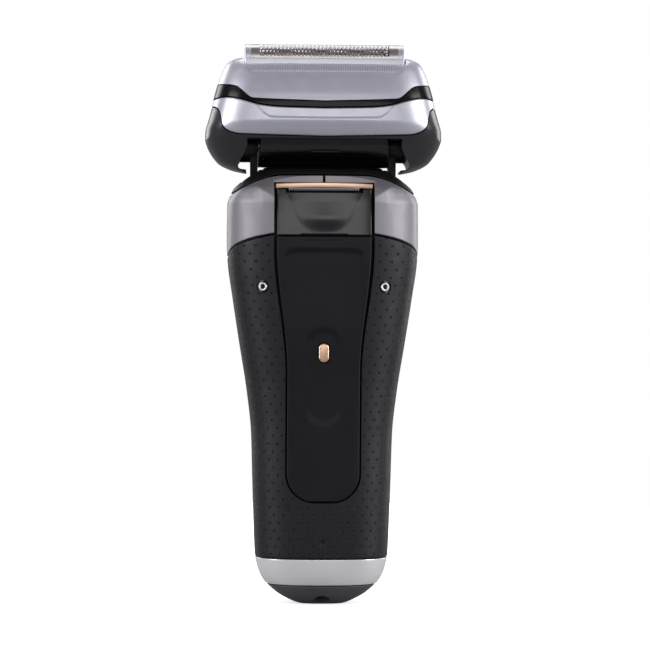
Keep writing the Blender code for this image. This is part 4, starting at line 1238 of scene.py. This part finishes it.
def foil_frame(name, centre):
    """The frame of a foil: a well for it, and a post and a slotted cap at each end."""
    base = box(name, (-FOIL_FRAME_HALF, centre - 4.6, 152.0),
               (FOIL_FRAME_HALF, centre + 4.6, FOIL_CENTRE - 0.2))
    rounded(base, 0.35, 3)
    well = (FOIL_HALF + 0.15, FOIL_RADIUS + 0.1)
    carve(base, box("foil_well", (-well[0], centre - well[1], 157.6), (well[0], centre + well[1], 165)))
    for _, end in SIDES:
        post = foil_end("post", centre, FOIL_RADIUS + 0.02, end, FOIL_HALF + 0.1, 0.25)
        carve(base, post, operation="UNION")
        cap = foil_end("cap", centre, FOIL_RADIUS - 0.12, end, 19.7, 0.2)
        near, far = span(end, 22.0, 22.35)
        carve(cap, box("cap_slot", (near, centre - 6, 160.2), (far, centre - 2.6, 162.4)))
        carve(base, cap, operation="UNION")
    return carve(base, box("frame_hole", (-19.5, centre - 3.8, 151), (19.5, centre + 3.8, 165)))


def foil_cutter(name, centre):
    """The toothed block that runs inside a foil, with a pocket for its drive pin."""
    teeth = tooth_row(half_width=17.6, root=157.0, tip=163.0, base=153.5, teeth=34, land=0.55)
    cutter = prism(name, teeth, centre - 3.4, centre + 3.4)
    shape = prism("cutter_shape", arch_outline(centre, 3.45, 150.0), -30, 30, "X")
    carve(cutter, shape, operation="INTERSECT")
    foot = box("cutter_foot", (-5, centre - 2.4, 150.8), (5, centre + 2.4, 153.9))
    carve(cutter, foot, operation="UNION")
    return carve(cutter, rod("drive_pocket", 1.3, (0, centre, 149), (0, centre, 155.2), 24))


def make_foil(look, face, side):
    """A foil, the frame that carries it and the cutter below it."""
    centre = side * FOIL_OFFSET
    foil = joined(f"{face}_foil_fine", foil_margin("margin", centre), foil_holes("holes", centre))
    dress(foil, f"{face}_foil", look["foil"], "steel", f"{face}_foil", sharp=50)
    base = foil_frame(f"{face}_foil_frame_fine", centre)
    dress(base, f"{face}_foil", look["silver"], "silver", f"{face}_foil_frame", sharp=32)
    cutter = foil_cutter(f"{face}_cutter_fine", centre)
    dress(cutter, f"{face}_cutter", look["steel"], "steel", f"{face}_cutter", sharp=30)


def make_middle(look):
    """The lift trimmer, its blade and the grooved skin guard between the foils."""
    comb = tooth_row(half_width=20.0, root=160.0, tip=161.6, base=152.4, teeth=34)
    lift = prism("lift_trimmer_fine", comb, -2.6, -1.2)
    dress(rounded(lift, 0.08, 2), "lift_trimmer", look["gold"], "gold", "lift_trimmer")
    teeth = tooth_row(half_width=18.0, root=160.0, tip=161.3, base=152.4, teeth=30)
    blade = prism("lift_blade_fine", teeth, -0.9, 0.3)
    carve(blade, box("blade_notch", (-1.0, -3, 150), (1.0, 3, 154.6)))
    dress(blade, "lift_blade", look["steel"], "steel", "lift_trimmer_blade")
    guard = rounded(box("skin_guard_fine", (-20.0, 0.8, 152.4), (20.0, 2.6, 161.8)), 0.55, 4)
    for x in np.arange(-18.5, 18.6, 1.0):
        carve(guard, box("guard_groove", (x - 0.16, 0, 161.35), (x + 0.16, 4, 163)))
    dress(guard, "skin_guard", look["silver"], "silver", "skin_guard")


# ---------------------------------------------------------------- inner pieces

INNER = (
    # CAD nodes, body, finish, slot, edge rounding
    (("base_seal",), "root", "tongue", "grip_rubber", 0.0),
    (("socket_housing",), "root", "matte", "black_matte", 0.12),
    (("socket_pin_left", "socket_pin_right"), "root", "gold", "gold", 0.12),
    (("display_module",), "root", "cap", "dark_plastic", 0.2),
    (("tactile_switch",), "root", "steel", "steel", 0.15),
    (("neck_gasket",), "root", "tongue", "grip_rubber", 0.0),
    (("pivot_yoke",), "root", "matte", "black_matte", 0.25),
    (("pivot_pin_left", "pivot_pin_right"), "root", "steel", "steel", 0.15),
    (("yoke_screw_1", "yoke_screw_2", "yoke_screw_3", "yoke_screw_4"), "root", "steel", "steel", 0.1),
    (("chassis",), "root", "cap", "dark_plastic", 0.25),
    (("battery_cell",), "root", "cell", "cell", 0.5),
    (("circuit_board",), "root", "board", "board", 0.06),
    (("trimmer_bed",), "root", "matte", "black_matte", 0.0),
    (("pivot_bush_left", "pivot_bush_right"), "head", "cap", "dark_plastic", 0.1),
    (("motor_core",), "head", "steel", "steel", 0.12),
    (("motor_coil",), "head", "copper", "copper", 0.5),
    (("drive_cover",), "head", "tongue", "grip_rubber", 0.2),
    (("motor_armature",), "armature", "steel", "steel", 0.12),
)


def finer_copy(node, width):
    """A copy of a CAD piece with its flat faces whole, no old map and its edges rounded."""
    builder = bmesh.new()
    builder.from_mesh(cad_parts[node].data)
    bmesh.ops.remove_doubles(builder, verts=builder.verts, dist=1e-6)
    bmesh.ops.dissolve_limit(builder, angle_limit=math.radians(1), verts=builder.verts,
                             edges=builder.edges)
    for layer in list(builder.loops.layers.uv.values()):
        builder.loops.layers.uv.remove(layer)
    mesh = bpy.data.meshes.new(f"{node}_fine")
    builder.to_mesh(mesh)
    builder.free()
    copy = settled(f"{node}_fine", mesh)
    return rounded(copy, width, 2, 50) if width else copy


def make_inner(look):
    """Finer copies of the simple pieces inside."""
    for nodes, body, coat, slot, width in INNER:
        for node in nodes:
            dress(finer_copy(node, width), body, look[coat], slot, node)


def main():
    """Set the stage and build every piece."""
    bpy.context.scene.view_settings.view_transform = "Standard"
    make_camera()
    make_lights()
    make_floor()
    look = make_materials()
    make_base(look)
    make_grip(look)
    make_collar(look)
    make_trimmer(look)
    make_front(look)
    make_carrier(look)
    make_trim(look)
    make_housing(look)
    make_cassette(look)
    make_foil(look, "rear", REAR)
    make_foil(look, "front", FRONT)
    make_middle(look)
    make_inner(look)


main()
